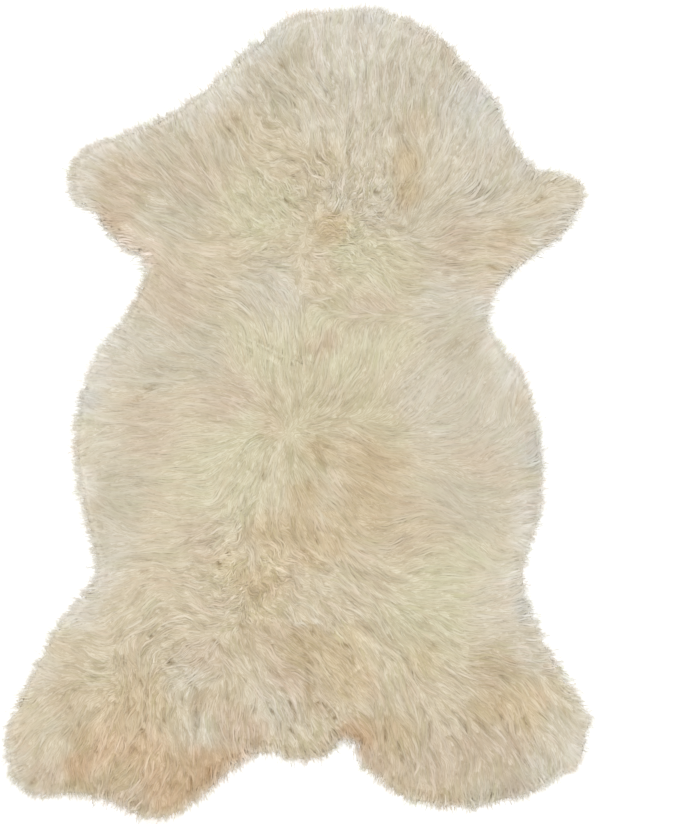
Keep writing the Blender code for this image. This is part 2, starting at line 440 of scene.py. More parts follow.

# Folds and gaps between the locks, and the crests between them, where depth is less than 0.
# Besides lowering and raising the pile, the folds and gaps are painted darker as shade, and the
# crests painted lighter as highlight.
HOLLOWS_MM = [
    # place, x, y, along, across, angle, depth
    ("neck_fold", -24, 422, 40, 5, 54, 0.6),
    ("neck_fold_end", -78, 361, 22, 6, 48, 0.5),
    ("ruff_gap", -37, 360, 16, 4, 85, 0.6),
    ("ruff_gap_right", -4, 380, 13, 3, 95, 0.7),
    ("nape_hollow", 36, 385, 12, 5, 120, 0.3),
    ("gap_over_the_parting", 38, 322, 11, 2.5, -52, 0.5),
    ("gap_over_the_parting_left", 30, 318, 9, 2.5, -60, 0.4),
    ("parting_gap_left", 4, 285, 13, 3, 120, 0.5),
    ("parting_gap_middle", 31, 268, 7, 4, 0, 0.6),
    ("parting_gap_low_left", -12, 262, 8, 3.5, 20, 0.5),
    ("parting_gap_right", 80, 286, 16, 3, 100, 0.7),
    ("parting_gap_right_foot", 94, 273, 10, 3, 15, 0.7),
    ("parting_gap_far_right", 128, 267, 12, 4, 80, 0.4),
    ("parting_spot", 71, 259, 6, 3.5, 0, 0.5),
    ("parting_foot", 50, 230, 16, 5.5, 10, 0.3),
    ("nape_gap", 105, 298, 8, 2.5, 90, 0.7),
    ("nape_gap_right", 142, 305, 12, 3, 90, 0.7),
    ("nape_furrow", 120, 346, 22, 5, 80, 0.5),
    ("neck_edge_spot", 191, 382, 9, 4, 20, 0.5),
    ("neck_edge_spot_high", 175, 437, 6, 6, 0, 0.5),
    ("right_shoulder_furrow", 246, 305, 16, 3.5, 45, 0.7),
    ("right_shoulder_furrow_low", 228, 272, 20, 4, 70, 0.5),
    ("right_foreleg_spot", 296, 260, 10, 4, 40, 0.7),
    ("right_foreleg_top", 310, 288, 14, 8, 0, 0.4),
    ("left_foreleg_hollow", -239, 283, 20, 18, 0, 0.4),
    ("right_breast_furrow", 172, 271, 16, 6, 35, 0.4),
    ("right_armpit_hollow", 237, 176, 14, 10, 45, 0.6),
    ("right_chest_hollow", 200, 84, 30, 14, 20, 0.5),
    ("left_rib_spot", -168, 57, 7, 3.5, -20, 0.7),
    ("left_rib_fold", -190, 25, 25, 5, 40, 1.0),
    ("left_rib_fold_end", -225, -10, 22, 10, 45, 0.4),
    ("left_belly_hollow", -228, -95, 20, 16, 90, 0.35),
    ("whorl_spot", -38, 13, 5, 3, 0, 1.0),
    ("whorl_furrow_right", 20, -31, 16, 3, -22, 0.8),
    ("whorl_furrow_far_right", 90, -65, 14, 3, -20, 0.7),
    ("whorl_furrow_up_right", 87, 12, 9, 3.5, 35, 0.7),
    ("whorl_furrow_down", 10, -84, 24, 3, -80, 0.6),
    ("loin_furrow", 20, -152, 18, 3.5, -70, 0.7),
    ("left_whorl_furrow", -40, -60, 30, 4, 75, 0.4),
    ("right_belly_line", 228, -51, 12, 3, 15, 0.5),
    ("right_rib_hollow", 277, -82, 12, 22, 0, 0.4),
    ("left_loin_spot", -131, -155, 8, 4, 0, 0.6),
    ("left_loin_gap", -99, -183, 8, 3.5, 90, 0.9),
    ("upper_loin_spot", -38, -149, 8, 3.5, 0, 0.7),
    ("left_flank_hollow", -177, -190, 40, 12, -3, 0.45),
    ("loin_gap_right", -42, -214, 9, 4, 60, 0.7),
    ("loin_gap", -55, -233, 9, 4, 50, 0.6),
    ("loin_gap_low", -69, -260, 7, 3.5, 60, 0.6),
    ("loin_gap_left", -90, -287, 9, 3.5, 90, 0.6),
    ("rump_furrow", 45, -281, 16, 3.5, -25, 0.6),
    ("tail_furrow", 5, -290, 20, 3.5, -70, 0.4),
    ("tail_furrow_low", 18, -345, 26, 4, -78, 0.6),
    ("rump_furrow_right", 166, -284, 14, 4, -40, 0.5),
    ("right_haunch_gap", 240, -329, 16, 4, 10, 0.7),
    ("right_haunch_hollow", 250, -305, 25, 14, 30, 0.3),
    ("right_haunch_furrow", 246, -362, 18, 5, -80, 0.4),
    ("tail_notch_gap", 72, -398, 12, 5.5, -50, 1.0),
    ("left_haunch_fold", -287, -345, 24, 11, 85, 0.3),
    ("left_hind_fold", -271, -438, 30, 8, 95, 0.7),
    ("left_haunch_line", -220, -275, 12, 3, 10, 0.4),
    ("left_haunch_line_right", -172, -300, 22, 3, -10, 0.3),
    ("left_seam_gap_high", -226, -302, 5, 3, -60, 0.5),
    ("left_seam_gap", -222, -322, 6, 2.5, -45, 0.5),
    ("left_seam_gap_middle", -226, -335, 6, 2.5, -25, 0.3),
    ("left_seam_gap_low", -226, -343, 5, 2.5, -15, 0.4),
    ("left_seam_gap_foot", -227, -354, 6, 2.5, 0, 0.5),
    ("left_seam_line", -185, -345, 12, 2.5, -48, 0.4),
    ("left_shank_gap", -124, -352, 12, 4, 90, 0.9),
    ("left_shank_gap_right", -84, -348, 8, 3.5, 30, 0.3),
    ("left_foot_gap", -200, -413, 14, 4, 0, 0.7),
    ("left_foot_low_gap", -150, -455, 12, 6.5, 0, 0.9),
    ("left_foot_inner_shade", -112, -440, 16, 12, 45, 0.6),
    ("right_foot_gap", 145, -432, 18, 3, 90, 0.6),
    ("right_foot_gap_low", 175, -468, 6, 4, 0, 0.8),
    ("right_foot_gap_right", 240, -460, 10, 3, 90, 0.6),
    ("right_hind_gap", 267, -463, 10, 4, 40, 0.6),
    ("right_hock_hollow", 326, -364, 14, 12, 0, 0.5),
    ("left_hind_edge", -328, -452, 20, 8, 0, 0.5),
    ("nape_crest_left", 16, 350, 22, 6, 95, -0.8),
    ("neck_crest", 54, 429, 18, 10, 90, -0.5),
    ("nape_crest", 56, 338, 18, 6, 90, -0.9),
    ("parting_lock", 53, 270, 20, 5, 85, -1.0),
    ("loin_crest", 8, -256, 28, 6, 0, -1.0),
    ("left_shank_crest", -130, -318, 14, 10, 60, -0.9),
    ("white_lock", -114, -385, 28, 7, 100, -1.1),
    ("left_hind_crest", -310, -385, 26, 22, 60, -0.5),
    ("left_loin_crest", -150, -158, 40, 10, 0, -0.4),
]

# Where the wool takes on each of its tones.
TONES_MM = [
    # place, x, y, radius, tone
    ("crown", 60, 485, 45, "lilac"),
    ("crown_rim", 85, 490, 14, "silver"),
    ("neck_left_rim_low", -54, 449, 14, "silver"),
    ("right_cheek_rim", 228, 385, 18, "silver"),
    ("crown_left", 8, 474, 20, "lilac"),
    ("crown_left_low", -10, 450, 16, "ash"),
    ("neck_left_rim", -30, 464, 16, "silver"),
    ("neck_left_edge", -60, 425, 40, "grey"),
    ("neck_high", 65, 440, 40, "lilac"),
    ("neck_bright", 66, 426, 18, "frost"),
    ("neck_right_top", 165, 445, 40, "grey"),
    ("neck_right_rim", 137, 474, 18, "lilac"),
    ("neck_middle", 60, 390, 35, "grey"),
    ("neck_right_middle", 140, 395, 40, "grey"),
    ("nape_right_high", 144, 358, 14, "tan"),
    ("neck_right_edge", 220, 375, 40, "silver"),
    ("right_cheek_inner", 236, 364, 16, "frost"),
    ("left_collar", -74, 346, 22, "cream"),
    ("left_collar_low", -95, 325, 14, "ash"),
    ("ruff", -30, 395, 22, "ash"),
    ("nape_left", 20, 358, 20, "pale"),
    ("nape", 90, 340, 35, "pale"),
    ("left_shoulder", -165, 340, 35, "ash"),
    ("left_shoulder_low", -130, 300, 35, "pink"),
    ("left_shoulder_rim", -150, 366, 18, "lilac"),
    ("left_cheek_rim", -115, 388, 18, "lilac"),
    ("neck_left_edge_rim", -86, 412, 14, "lilac"),
    ("left_foreleg_rim_top", -206, 344, 16, "lilac"),
    ("left_foreleg_rim", -256, 322, 16, "lilac"),
    ("left_foreleg_tip_rim", -272, 275, 18, "lilac"),
    ("left_foreleg", -225, 275, 34, "pink"),
    ("left_elbow", -145, 250, 28, "ash"),
    ("throat", -50, 255, 35, "green"),
    ("throat_high", -15, 300, 22, "cream"),
    ("parting_low", 42, 226, 13, "straw"),
    ("parting_high", 37, 315, 12, "cream"),
    ("nape_right_low", 133, 310, 14, "gold"),
    ("parting_middle", 54, 270, 14, "pale"),
    ("parting_right", 102, 268, 16, "pale"),
    ("parting_right_low", 97, 240, 14, "pale"),
    ("right_collar_low", 132, 270, 12, "gold"),
    ("right_collar", 180, 325, 35, "pale"),
    ("right_breast", 160, 235, 25, "ash"),
    ("right_shoulder", 225, 275, 28, "grey"),
    ("right_foreleg_spot", 297, 258, 16, "cream"),
    ("right_foreleg", 328, 265, 25, "pale"),
    ("right_foreleg_under", 305, 225, 25, "grey"),
    ("right_foreleg_rim", 328, 240, 14, "lilac"),
    ("right_armpit_rim", 277, 194, 14, "petal"),
    ("right_armpit_high", 258, 214, 12, "tan"),
    ("right_armpit_rim_low", 226, 130, 14, "lilac"),
    ("right_armpit_inner_high", 236, 156, 14, "petal"),
    ("right_foreleg_root", 280, 299, 14, "lilac"),
    ("right_foreleg_high", 288, 280, 12, "ash"),
    ("right_armpit", 240, 180, 25, "cream"),
    ("right_breast_low", 190, 212, 26, "pink"),
    ("withers_right", 80, 195, 28, "green"),
    ("withers_far_right", 132, 166, 16, "olive"),
    ("withers_middle", 20, 172, 16, "cream"),
    ("withers_left", -35, 145, 28, "grey"),
    ("left_breast", -100, 190, 28, "cream"),
    ("left_armpit", -150, 145, 30, "pink"),
    ("left_armpit_rim", -203, 200, 18, "petal"),
    ("left_armpit_inner", -176, 243, 14, "pale"),
    ("left_foreleg_low", -236, 231, 12, "rose"),
    ("left_chest", -195, 85, 35, "grey"),
    ("left_chest_rim", -226, 92, 16, "lilac"),
    ("left_rib_rim", -250, 52, 16, "lilac"),
    ("left_rib_rim_low", -266, 14, 14, "silver"),
    ("back_left", -45, 85, 35, "green"),
    ("back_middle", 26, 86, 13, "tan"),
    ("back_middle_low", 17, 108, 12, "green"),
    ("back_high_right", 44, 121, 12, "olive"),
    ("back_middle_right", 52, 58, 13, "green"),
    ("back_low", 9, 47, 14, "olive"),
    ("back_right", 95, 95, 28, "green"),
    ("back_right_high", 88, 118, 18, "pink"),
    ("right_chest_high", 180, 140, 28, "grey"),
    ("right_chest", 200, 80, 25, "ash"),
    ("right_chest_rim", 262, 50, 16, "lilac"),
    ("right_armpit_rim_bottom", 238, 88, 14, "frost"),
    ("right_rib", 185, 20, 45, "grey"),
    ("right_rib_middle", 191, 3, 18, "ash"),
    ("right_rib_inner", 80, 8, 18, "olive"),
    ("right_rib_edge", 260, -30, 35, "grey"),
    ("right_rib_rim", 292, -44, 16, "silver"),
    ("right_belly", 225, -60, 20, "pink"),
    ("left_rib_high", -170, 50, 16, "ash"),
    ("left_rib_top", -120, 91, 22, "ash"),
    ("left_rib_upper", -113, 54, 14, "ash"),
    ("left_rib", -190, -20, 25, "pink"),
    ("left_rib_edge", -250, -20, 30, "pale"),
    ("left_rib_inner", -90, 25, 25, "pink"),
    ("left_belly", -95, -85, 45, "green"),
    ("left_belly_low", -155, -130, 32, "cream"),
    ("left_loin", -122, -147, 18, "pink"),
    ("left_belly_edge", -230, -100, 35, "ash"),
    ("left_belly_rim", -268, -88, 16, "frost"),
    ("whorl", 5, -15, 24, "olive"),
    ("whorl_right", 20, -48, 14, "gold"),
    ("whorl_left_inner", -37, -16, 12, "tan"),
    ("whorl_left", -60, -30, 22, "green"),
    ("right_loin_high", 90, -60, 26, "gold"),
    ("right_loin_top", 111, -22, 14, "olive"),
    ("right_loin", 80, -115, 28, "gold"),
    ("whorl_low", 8, -66, 16, "olive"),
    ("whorl_foot", 10, -97, 14, "gold"),
    ("whorl_low_right", 38, -95, 14, "cream"),
    ("right_flank", 150, -145, 28, "tan"),
    ("right_flank_high", 205, -110, 35, "ash"),
    ("right_flank_rim", 288, -118, 18, "lilac"),
    ("right_flank_rim_low", 283, -150, 14, "frost"),
    ("right_flank_low", 190, -190, 35, "green"),
    ("right_waist", 160, -240, 35, "green"),
    ("right_waist_edge", 255, -225, 35, "pale"),
    ("loin_right", 18, -168, 15, "straw"),
    ("loin_right_low", 40, -161, 12, "gold"),
    ("loin_left", -40, -152, 18, "straw"),
    ("loin_left_pale", -60, -171, 14, "cream"),
    ("loin_high_left", -76, -190, 19, "honey"),
    ("loin_high_middle", -35, -180, 14, "honey"),
    ("loin_low_bright", -46, -246, 12, "honey"),
    ("loin_top", -5, -143, 14, "gold"),
    ("loin_middle", -46, -205, 18, "straw"),
    ("loin_far_left", -110, -235, 28, "cream"),
    ("loin_pale", 60, -215, 32, "cream"),
    ("loin_low", -50, -262, 20, "tan"),
    ("rump", 10, -288, 18, "gold"),
    ("rump_bright", 60, -276, 11, "honey"),
    ("rump_gold", 42, -300, 12, "gold"),
    ("rump_right", 60, -322, 20, "straw"),
    ("right_rump", 158, -278, 28, "green"),
    ("right_rump_low", 152, -300, 16, "straw"),
    ("left_flank", -180, -195, 28, "cream"),
    ("left_flank_edge", -235, -170, 28, "grey"),
    ("left_flank_rim", -250, -202, 18, "lilac"),
    ("left_waist_rim", -270, -236, 20, "lilac"),
    ("left_waist", -205, -240, 28, "cream"),
    ("left_thigh_rim", -320, -322, 16, "pale"),
    ("left_haunch", -235, -295, 38, "cream"),
    ("left_haunch_low", -205, -350, 30, "straw"),
    ("left_haunch_fold", -283, -346, 18, "tan"),
    ("left_foot", -235, -408, 20, "orange"),
    ("left_foot_high_edge", -265, -397, 10, "brown"),
    ("left_foot_inner", -190, -418, 20, "orange"),
    ("left_foot_deep", -158, -455, 22, "rust"),
    ("left_foot_low_left", -222, -446, 12, "brown"),
    ("left_inner_leg", -112, -437, 22, "rust"),
    ("left_foot_end", -210, -480, 18, "rose"),
    ("left_hind_crest", -318, -388, 30, "cream"),
    ("left_hind_corner_rim", -350, -428, 14, "pale"),
    ("left_hind_corner_low", -343, -457, 10, "ash"),
    ("left_hind_end", -322, -452, 22, "pink"),
    ("left_hind_edge", -272, -464, 12, "brown"),
    ("left_foot_outer_edge", -238, -474, 10, "tan"),
    ("left_hind_fold", -271, -432, 12, "rust"),
    ("left_foot_edge", -155, -480, 14, "orange"),
    ("left_foot_inner_edge", -112, -458, 14, "rust"),
    ("left_leg_edge", -80, -430, 12, "orange"),
    ("right_leg_edge", 92, -432, 14, "rose"),
    ("right_foot_inner_edge", 120, -460, 14, "tan"),
    ("left_haunch_inner", -136, -328, 18, "pale"),
    ("left_haunch_middle", -117, -299, 16, "pink"),
    ("left_shank", -116, -388, 15, "pale"),
    ("left_shank_top", -118, -352, 12, "tan"),
    ("left_shank_right", -86, -380, 14, "rose"),
    ("tail_left", -65, -395, 18, "rose"),
    ("tail", -25, -356, 22, "pale"),
    ("tail_high", -14, -326, 14, "rose"),
    ("tail_right", 18, -350, 12, "tan"),
    ("tail_notch", 75, -398, 15, "rust"),
    ("right_inner_leg", 120, -395, 18, "gold"),
    ("right_shank", 165, -345, 35, "cream"),
    ("right_shank_low", 170, -425, 30, "pink"),
    ("right_haunch_spot", 240, -320, 20, "tan"),
    ("right_haunch_line", 230, -363, 14, "gold"),
    ("right_haunch", 270, -358, 22, "straw"),
    ("right_hind", 240, -410, 28, "pink"),
    ("right_hock", 335, -388, 26, "pale"),
    ("right_hind_end", 295, -440, 18, "grey"),
    ("right_foot", 266, -466, 14, "shade"),
    ("right_foot_end", 175, -472, 18, "tan"),
    ("right_foot_end_outer", 225, -472, 14, "ash"),
    ("right_thigh_edge", 300, -285, 25, "grey"),
    ("right_thigh_rim", 280, -238, 14, "silver"),
    ("right_waist_rim", 268, -206, 15, "frost"),
    ("right_hock_rim", 340, -412, 12, "frost"),
]


def linear(red, green, blue):
    """A colour given as 0 to 255 on screen, as the light values that a shader takes."""
    return tuple(
        c / 12.92 if c <= 0.04045 else ((c + 0.055) / 1.055) ** 2.4
        for c in (red / 255, green / 255, blue / 255)
    )


def smooth(share):
    """0 up to 0, 1 from 1 on, and a smooth rise between them."""
    share = np.clip(share, 0.0, 1.0)
    return share * share * (3.0 - 2.0 * share)


def unit(vectors):
    """Vectors made 1 long."""
    return vectors / np.maximum(np.linalg.norm(vectors, axis=-1, keepdims=True), 1e-12)


def turned(vectors, angle):
    """Vectors in the plane, turned by an angle."""
    c, s = np.cos(angle), np.sin(angle)
    x, y = vectors[..., 0], vectors[..., 1]
    return np.stack([x * c - y * s, x * s + y * c], -1)


def from_place(places, x, y):
    """The way to places from one that is given in millimetres."""
    return places - np.array((x, y)) * MM


def nearness(places, x, y, radius):
    """1 at a place given in millimetres, falling off smoothly round it."""
    return np.exp(-(from_place(places, x, y) ** 2).sum(-1) / (radius * MM) ** 2)


def around(values, reach):
    """Each place's mean over the cells around it."""
    for axis in (0, 1):
        total = sum(np.roll(values, shift, axis) for shift in range(-reach, reach + 1))
        values = total / (2 * reach + 1)
    return values


def slopes(values):
    """How fast a map's values rise, along x and along y."""
    return np.stack(np.gradient(values, MAP_CELL), -1)


def ripple(places, wavelength, seed):
    """A smooth random value, mostly within -1 to 1, that changes over about the wavelength."""
    rng = np.random.default_rng(seed)
    angle = rng.uniform(0, 2 * math.pi, RIPPLE_WAVES)
    pace = 2 * math.pi / wavelength * rng.uniform(0.6, 1.5, RIPPLE_WAVES)
    phase = rng.uniform(0, 2 * math.pi, RIPPLE_WAVES)
    along = places[..., :1] * np.cos(angle) + places[..., 1:2] * np.sin(angle)
    return np.sin(along * pace + phase).sum(-1) / math.sqrt(RIPPLE_WAVES / 2) * 0.7


def ripples(places, waves):
    """Ripples of several sizes, wavelengths and seeds, added up."""
    return sum(size * ripple(places, wavelength, seed) for size, wavelength, seed in waves)


# ---------------------------------------------------------------- the pelt's maps


def top_sheet(node):
    """The upper skin of the CAD solid, with its rim as the only open edge."""
    bm = bmesh.new()
    bm.from_mesh(node.data)
    bmesh.ops.remove_doubles(bm, verts=bm.verts, dist=WELD)
    bm.normal_update()
    below = [f for f in bm.faces if f.normal.z < 0]
    bmesh.ops.delete(bm, geom=below, context="FACES")
    return bm


def rim_line(bm):
    """The open edge's corners, in order."""
    edge = next(e for e in bm.edges if e.is_boundary)
    start, here = edge.verts
    line = [start]
    while here is not start:
        line.append(here)
        edge = next(e for e in here.link_edges if e.is_boundary and e is not edge)
        here = edge.other_vert(here)
    return np.array([v.co[:2] for v in line])


class Pelt:
    """Maps of the coat on a fine grid, all worked out from the CAD solid.

    inside is how far each place lies inside the wool's edge, less than 0 past it, and further is
    how far that edge lies past the solid's outline.
    """

    def __init__(self, node, underwool_share, colours):
        top = top_sheet(node)
        self.outline = rim_line(top)
        self.low = self.outline.min(0) - MAP_MARGIN
        self.high = self.outline.max(0) + MAP_MARGIN
        count = np.ceil((self.high - self.low) / MAP_CELL).astype(int) + 1
        axes = [self.low[i] + MAP_CELL * np.arange(count[i]) for i in (0, 1)]
        grid = np.stack(np.meshgrid(*axes, indexing="ij"), -1)
        self.inside, self.outward = self.edge_maps(grid)
        self.further = self.reach_map(grid)
        self.inside = self.inside + self.further
        self.coat = self.coat_map(grid)
        self.heading = self.heading_map(grid)
        self.streak = self.streak_map(grid, STREAK_SEED, STREAK_STEPS)
        self.streak *= STREAK[0] + STREAK[1] * self.coat[..., 2]
        self.tone = self.tone_map(grid, colours)
        # Painted light on the combed ridges and painted shade in their furrows.
        self.tone *= 1 + self.streak[..., None] * np.array(STREAK_PAINTED_LIGHT_AND_SHADE)
        self.hollow = self.hollow_map(grid)
        self.parting = -PARTING * slopes(self.hollow)
        self.height = self.height_map(top, grid)
        self.height *= 1 - HOLLOW_SHARE * self.hollow + STREAK_RISE * self.streak
        self.skin = self.skin_map()
        self.under = self.height * self.under_share(grid, underwool_share)
        self.relief = self.relief_map()
        top.free()

    def edge_maps(self, grid):
        """How far inside the outline each place is, less than 0 outside, and the way outwards."""
        start, end = self.outline, np.roll(self.outline, -1, axis=0)
        side = end - start
        inside, outward = [], []
        for places in grid:
            share = ((places[:, None] - start) * side).sum(-1)
            share = np.clip(share / (side ** 2).sum(-1), 0, 1)
            to_edge = start + share[..., None] * side - places[:, None]
            apart = np.linalg.norm(to_edge, axis=-1)
            nearest = apart.argmin(1)
            rows = np.arange(len(places))
            x, y = places[:, None, 0], places[:, None, 1]
            crosses = (start[:, 1] > y) != (end[:, 1] > y)
            slope = side[:, 0] / np.where(side[:, 1] == 0, 1, side[:, 1])
            within = (crosses & (x < start[:, 0] + (y - start[:, 1]) * slope)).sum(1) % 2
            sign = np.where(within, 1.0, -1.0)
            inside.append(apart[rows, nearest] * sign)
            outward.append(unit(to_edge[rows, nearest]) * sign[:, None])
        return np.array(inside), np.array(outward)

    def reach_map(self, grid):
        """How far past the outline the wool's edge lies, near the edge."""
        total, weight = 0.0, NO_REACH
        for _, x, y, radius, further in REACHES_MM:
            pull = nearness(grid, x, y, radius)
            total, weight = total + pull * further * MM, weight + pull
        ragged = RAGGED * ripples(grid, RAGGED_WAVES)
        return (total / weight + ragged) * (1 - smooth(self.inside / REACH_BAND))

    def coat_map(self, grid):
        """Curl, tousle, gather and depth at each place."""
        total, weight = PLAIN_COAT_WEIGHT * np.array(PLAIN_COAT), PLAIN_COAT_WEIGHT
        for _, x, y, radius, *coat in COATS_MM:
            pull = nearness(grid, x, y, radius * COAT_RADIUS)[..., None]
            total, weight = total + pull * np.array(coat), weight + pull
        return total / weight

    def heading_map(self, grid):
        """The unit vector that the wool's tips point along at each place."""
        total = np.zeros_like(grid)
        for _, x, y, angle in COMBED_MM:
            apart = np.linalg.norm(from_place(grid, x, y), axis=-1)
            pull = 1 / (apart ** 2 + (COMB_REACH_MM * MM) ** 2) ** 2
            way = math.radians(angle)
            total += pull[..., None] * np.array((math.cos(way), math.sin(way)))
        total = unit(total)
        for _, x, y, radius in WHORLS_MM:
            from_middle = from_place(grid, x, y)
            apart = np.linalg.norm(from_middle, axis=-1)
            hold = 1 - smooth(apart / (radius * MM) * 0.9 - 0.1)[..., None]
            total = unit(total * (1 - hold) + unit(from_middle) * hold)
        pull = OUTWARD * (1 - smooth(self.inside / OUTWARD_BAND))
        total = unit(total + pull[..., None] * self.outward)
        bend = ripples(grid, BENDS) + self.coat[..., 0] * ripples(grid, CURL_BENDS)
        return turned(total, bend)

    def streak_map(self, grid, seed, steps):
        """Low ridges and furrows that run the way the wool is combed, about 0 and of size 1."""
        rng = np.random.default_rng(seed)
        fleck = rng.normal(0, 1, grid.shape[:2])
        beside = sum(np.roll(fleck, shift, axis) for axis in (0, 1) for shift in (-1, 1))
        fleck = beside + 2 * fleck
        fleck -= around(fleck, FLECK_REACH)
        total = fleck.copy()
        for side in (-1, 1):
            places = grid
            for _ in range(steps):
                places = places + side * MAP_CELL * unit(self.read(self.heading, places))
                total += self.read(fleck, places)
        return total / total.std()

    def tone_map(self, grid, colours):
        """The wool's colour at each place. It pales towards the edge, where the wool is thin."""
        total, weight = PLAIN_TONE_WEIGHT * np.array(colours.cream), PLAIN_TONE_WEIGHT
        for _, x, y, radius, tone in TONES_MM:
            pull = nearness(grid, x, y, radius)[..., None] * TONE_RADIUS_MM / radius
            total, weight = total + pull * np.array(getattr(colours, tone)), weight + pull
        inside = self.inside[..., None]
        pale = PALE_EDGE * (1 - smooth(inside / PALE_BAND))
        beyond = smooth((FRINGE_START - inside) / FRINGE_BAND)
        far = smooth((-HAZE_START - inside) / HAZE_BAND)
        tone = total / weight * (1 - pale) + np.array(colours.edge) * pale
        fringe = np.array(colours.fringe) * (1 - far) + np.array(colours.haze) * far
        lift = np.array(LIFT) * (1 + RIM_LIFT * (1 - smooth(inside / RIM_BAND)))
        return (tone * (1 - beyond) + fringe * beyond) * lift

    def hollow_map(self, grid):
        """How far each place is sunk, where less than 0 is raised: the folds, gaps and crests."""
        hollow = np.zeros(grid.shape[:2])
        for _, x, y, along, across, angle, depth in HOLLOWS_MM:
            away = turned(from_place(grid, x, y), -math.radians(angle))
            away = away / (np.array((along, across)) * MM)
            hollow += depth * np.exp(-(away ** 2).sum(-1))
        hollow *= np.clip(0.8 - 0.4 * self.streak, 0.1, 1.7)
        furrow = -CREASE_START - self.streak_map(grid, CREASE_SEED, CREASE_STEPS)
        crease = CREASE * np.clip(furrow, 0, CREASE_RANGE)
        crease = crease * np.minimum(self.coat[..., 3], CREASE_COAT) ** 2
        return hollow + crease * smooth(self.inside / CREASE_BAND)

    def height_map(self, top, grid):
        """The pile's height, which runs out to nothing a little past the wool's edge."""
        tree = BVHTree.FromBMesh(top)
        above, down = CAD_BOX[1][2] + 0.01, Vector((0, 0, -1))
        rim = min(v.co.z for v in top.verts)
        height = rim * np.clip(1 + self.inside / OUTER_FALL, 0, 1)
        for i, j in zip(*np.nonzero(self.inside - self.further > 0)):
            hit = tree.ray_cast(Vector((*grid[i, j], above)), down)[0]
            if hit is not None:
                height[i, j] = max(hit.z, rim)
        return height

    def skin_map(self):
        """The pile's normals, which tip over less than the pile does near its edge."""
        slope = slopes(self.height)
        slope *= EDGE_SLOPE + (1 - EDGE_SLOPE) * smooth(self.inside / SLOPE_BAND)[..., None]
        return unit(np.concatenate([-slope, np.ones((*slope.shape[:2], 1))], -1))

    def under_share(self, grid, share):
        """Height of the dense underwool's top as a share of the pile's.

        It is lower and lumpier among curls, lower in hollows, and rounded off at the edge.
        """
        curl = self.coat[..., 0]
        lumps = (LUMPS[0] + LUMPS[1] * curl) * ripples(grid, LUMP_WAVES)
        share = share - CURLY_DROP * smooth((curl - 0.25) / 0.5) + lumps
        share = share * (1 - GAP_SHARE * np.clip(self.hollow, 0, 1) ** 2)
        bare = EDGE_BARE + EDGE_FOLLOW * np.minimum(self.further, 0)
        return share * np.clip((self.inside - bare) / EDGE_ROUND, 0, 1) ** EDGE_CURVE

    def relief_map(self):
        """How high the combed wool rises over the underwool."""
        relief = np.maximum(self.height - self.under, LEAST_RELIEF)
        relief *= 1 - SUNK_RELIEF * np.clip(self.hollow, -0.5, 1)
        return relief * (FLAT_RELIEF + (1 - FLAT_RELIEF) * np.clip(self.coat[..., 3], 0, 1))

    def read(self, values, places):
        """A map's values at places between its grid's."""
        at = np.clip((places - self.low) / MAP_CELL, 0, np.array(values.shape[:2]) - 1.001)
        cell = at.astype(int)
        share = at - cell
        i, j = cell[..., 0], cell[..., 1]
        u, v = share[..., 0], share[..., 1]
        if values.ndim > 2:
            u, v = u[..., None], v[..., None]
        near = values[i, j] * (1 - u) + values[i + 1, j] * u
        far = values[i, j + 1] * (1 - u) + values[i + 1, j + 1] * u
        return near * (1 - v) + far * v


# ---------------------------------------------------------------- locks and wisps


def scattered(pelt, spacing, rng, least=0.0, most=math.inf):
    """Places spread evenly but not in rows, from so far to so far inside the wool's edge."""
    xs = np.arange(pelt.low[0], pelt.high[0], spacing)
    ys = np.arange(pelt.low[1], pelt.high[1], spacing * math.sqrt(0.75))
    grid = np.stack(np.meshgrid(xs, ys, indexing="ij"), -1)
    grid[:, 1::2, 0] += spacing / 2
    places = grid.reshape(-1, 2)
    places = places + rng.uniform(-0.5, 0.5, places.shape) * spacing
    inside = pelt.read(pelt.inside, places)
    return places[(inside > least) & (inside < most)]


def tuft_places(pelt, spacing, rng):
    """Roots for short tufts where the wool parts and its roots would show."""
    places = scattered(pelt, spacing * TUFT_SPACING, rng, least=TUFT_INSIDE)
    wanted = np.zeros(len(places))
    for _, x, y, radius in TUFTS_MM:
        away = np.linalg.norm(from_place(places, x, y), axis=-1)
        wanted = np.maximum(wanted, 1 - away / (radius * MM))
    return places[rng.uniform(0, TUFT_SURE, len(places)) < wanted]


def combed_line(pelt, roots, length, turn, points, splay):
    """Lines over the floor that start at the roots and follow the combing, each turned a little.

    splay is how much they bend outwards besides.
    """
    line = [roots]
    step = (length / (points - 1))[:, None]
    for _ in range(points - 1):
        here = line[-1]
        way = unit(pelt.read(pelt.heading, here) + splay * pelt.read(pelt.outward, here))
        line.append(here + step * turned(way, turn))
    return np.stack(line, 1)


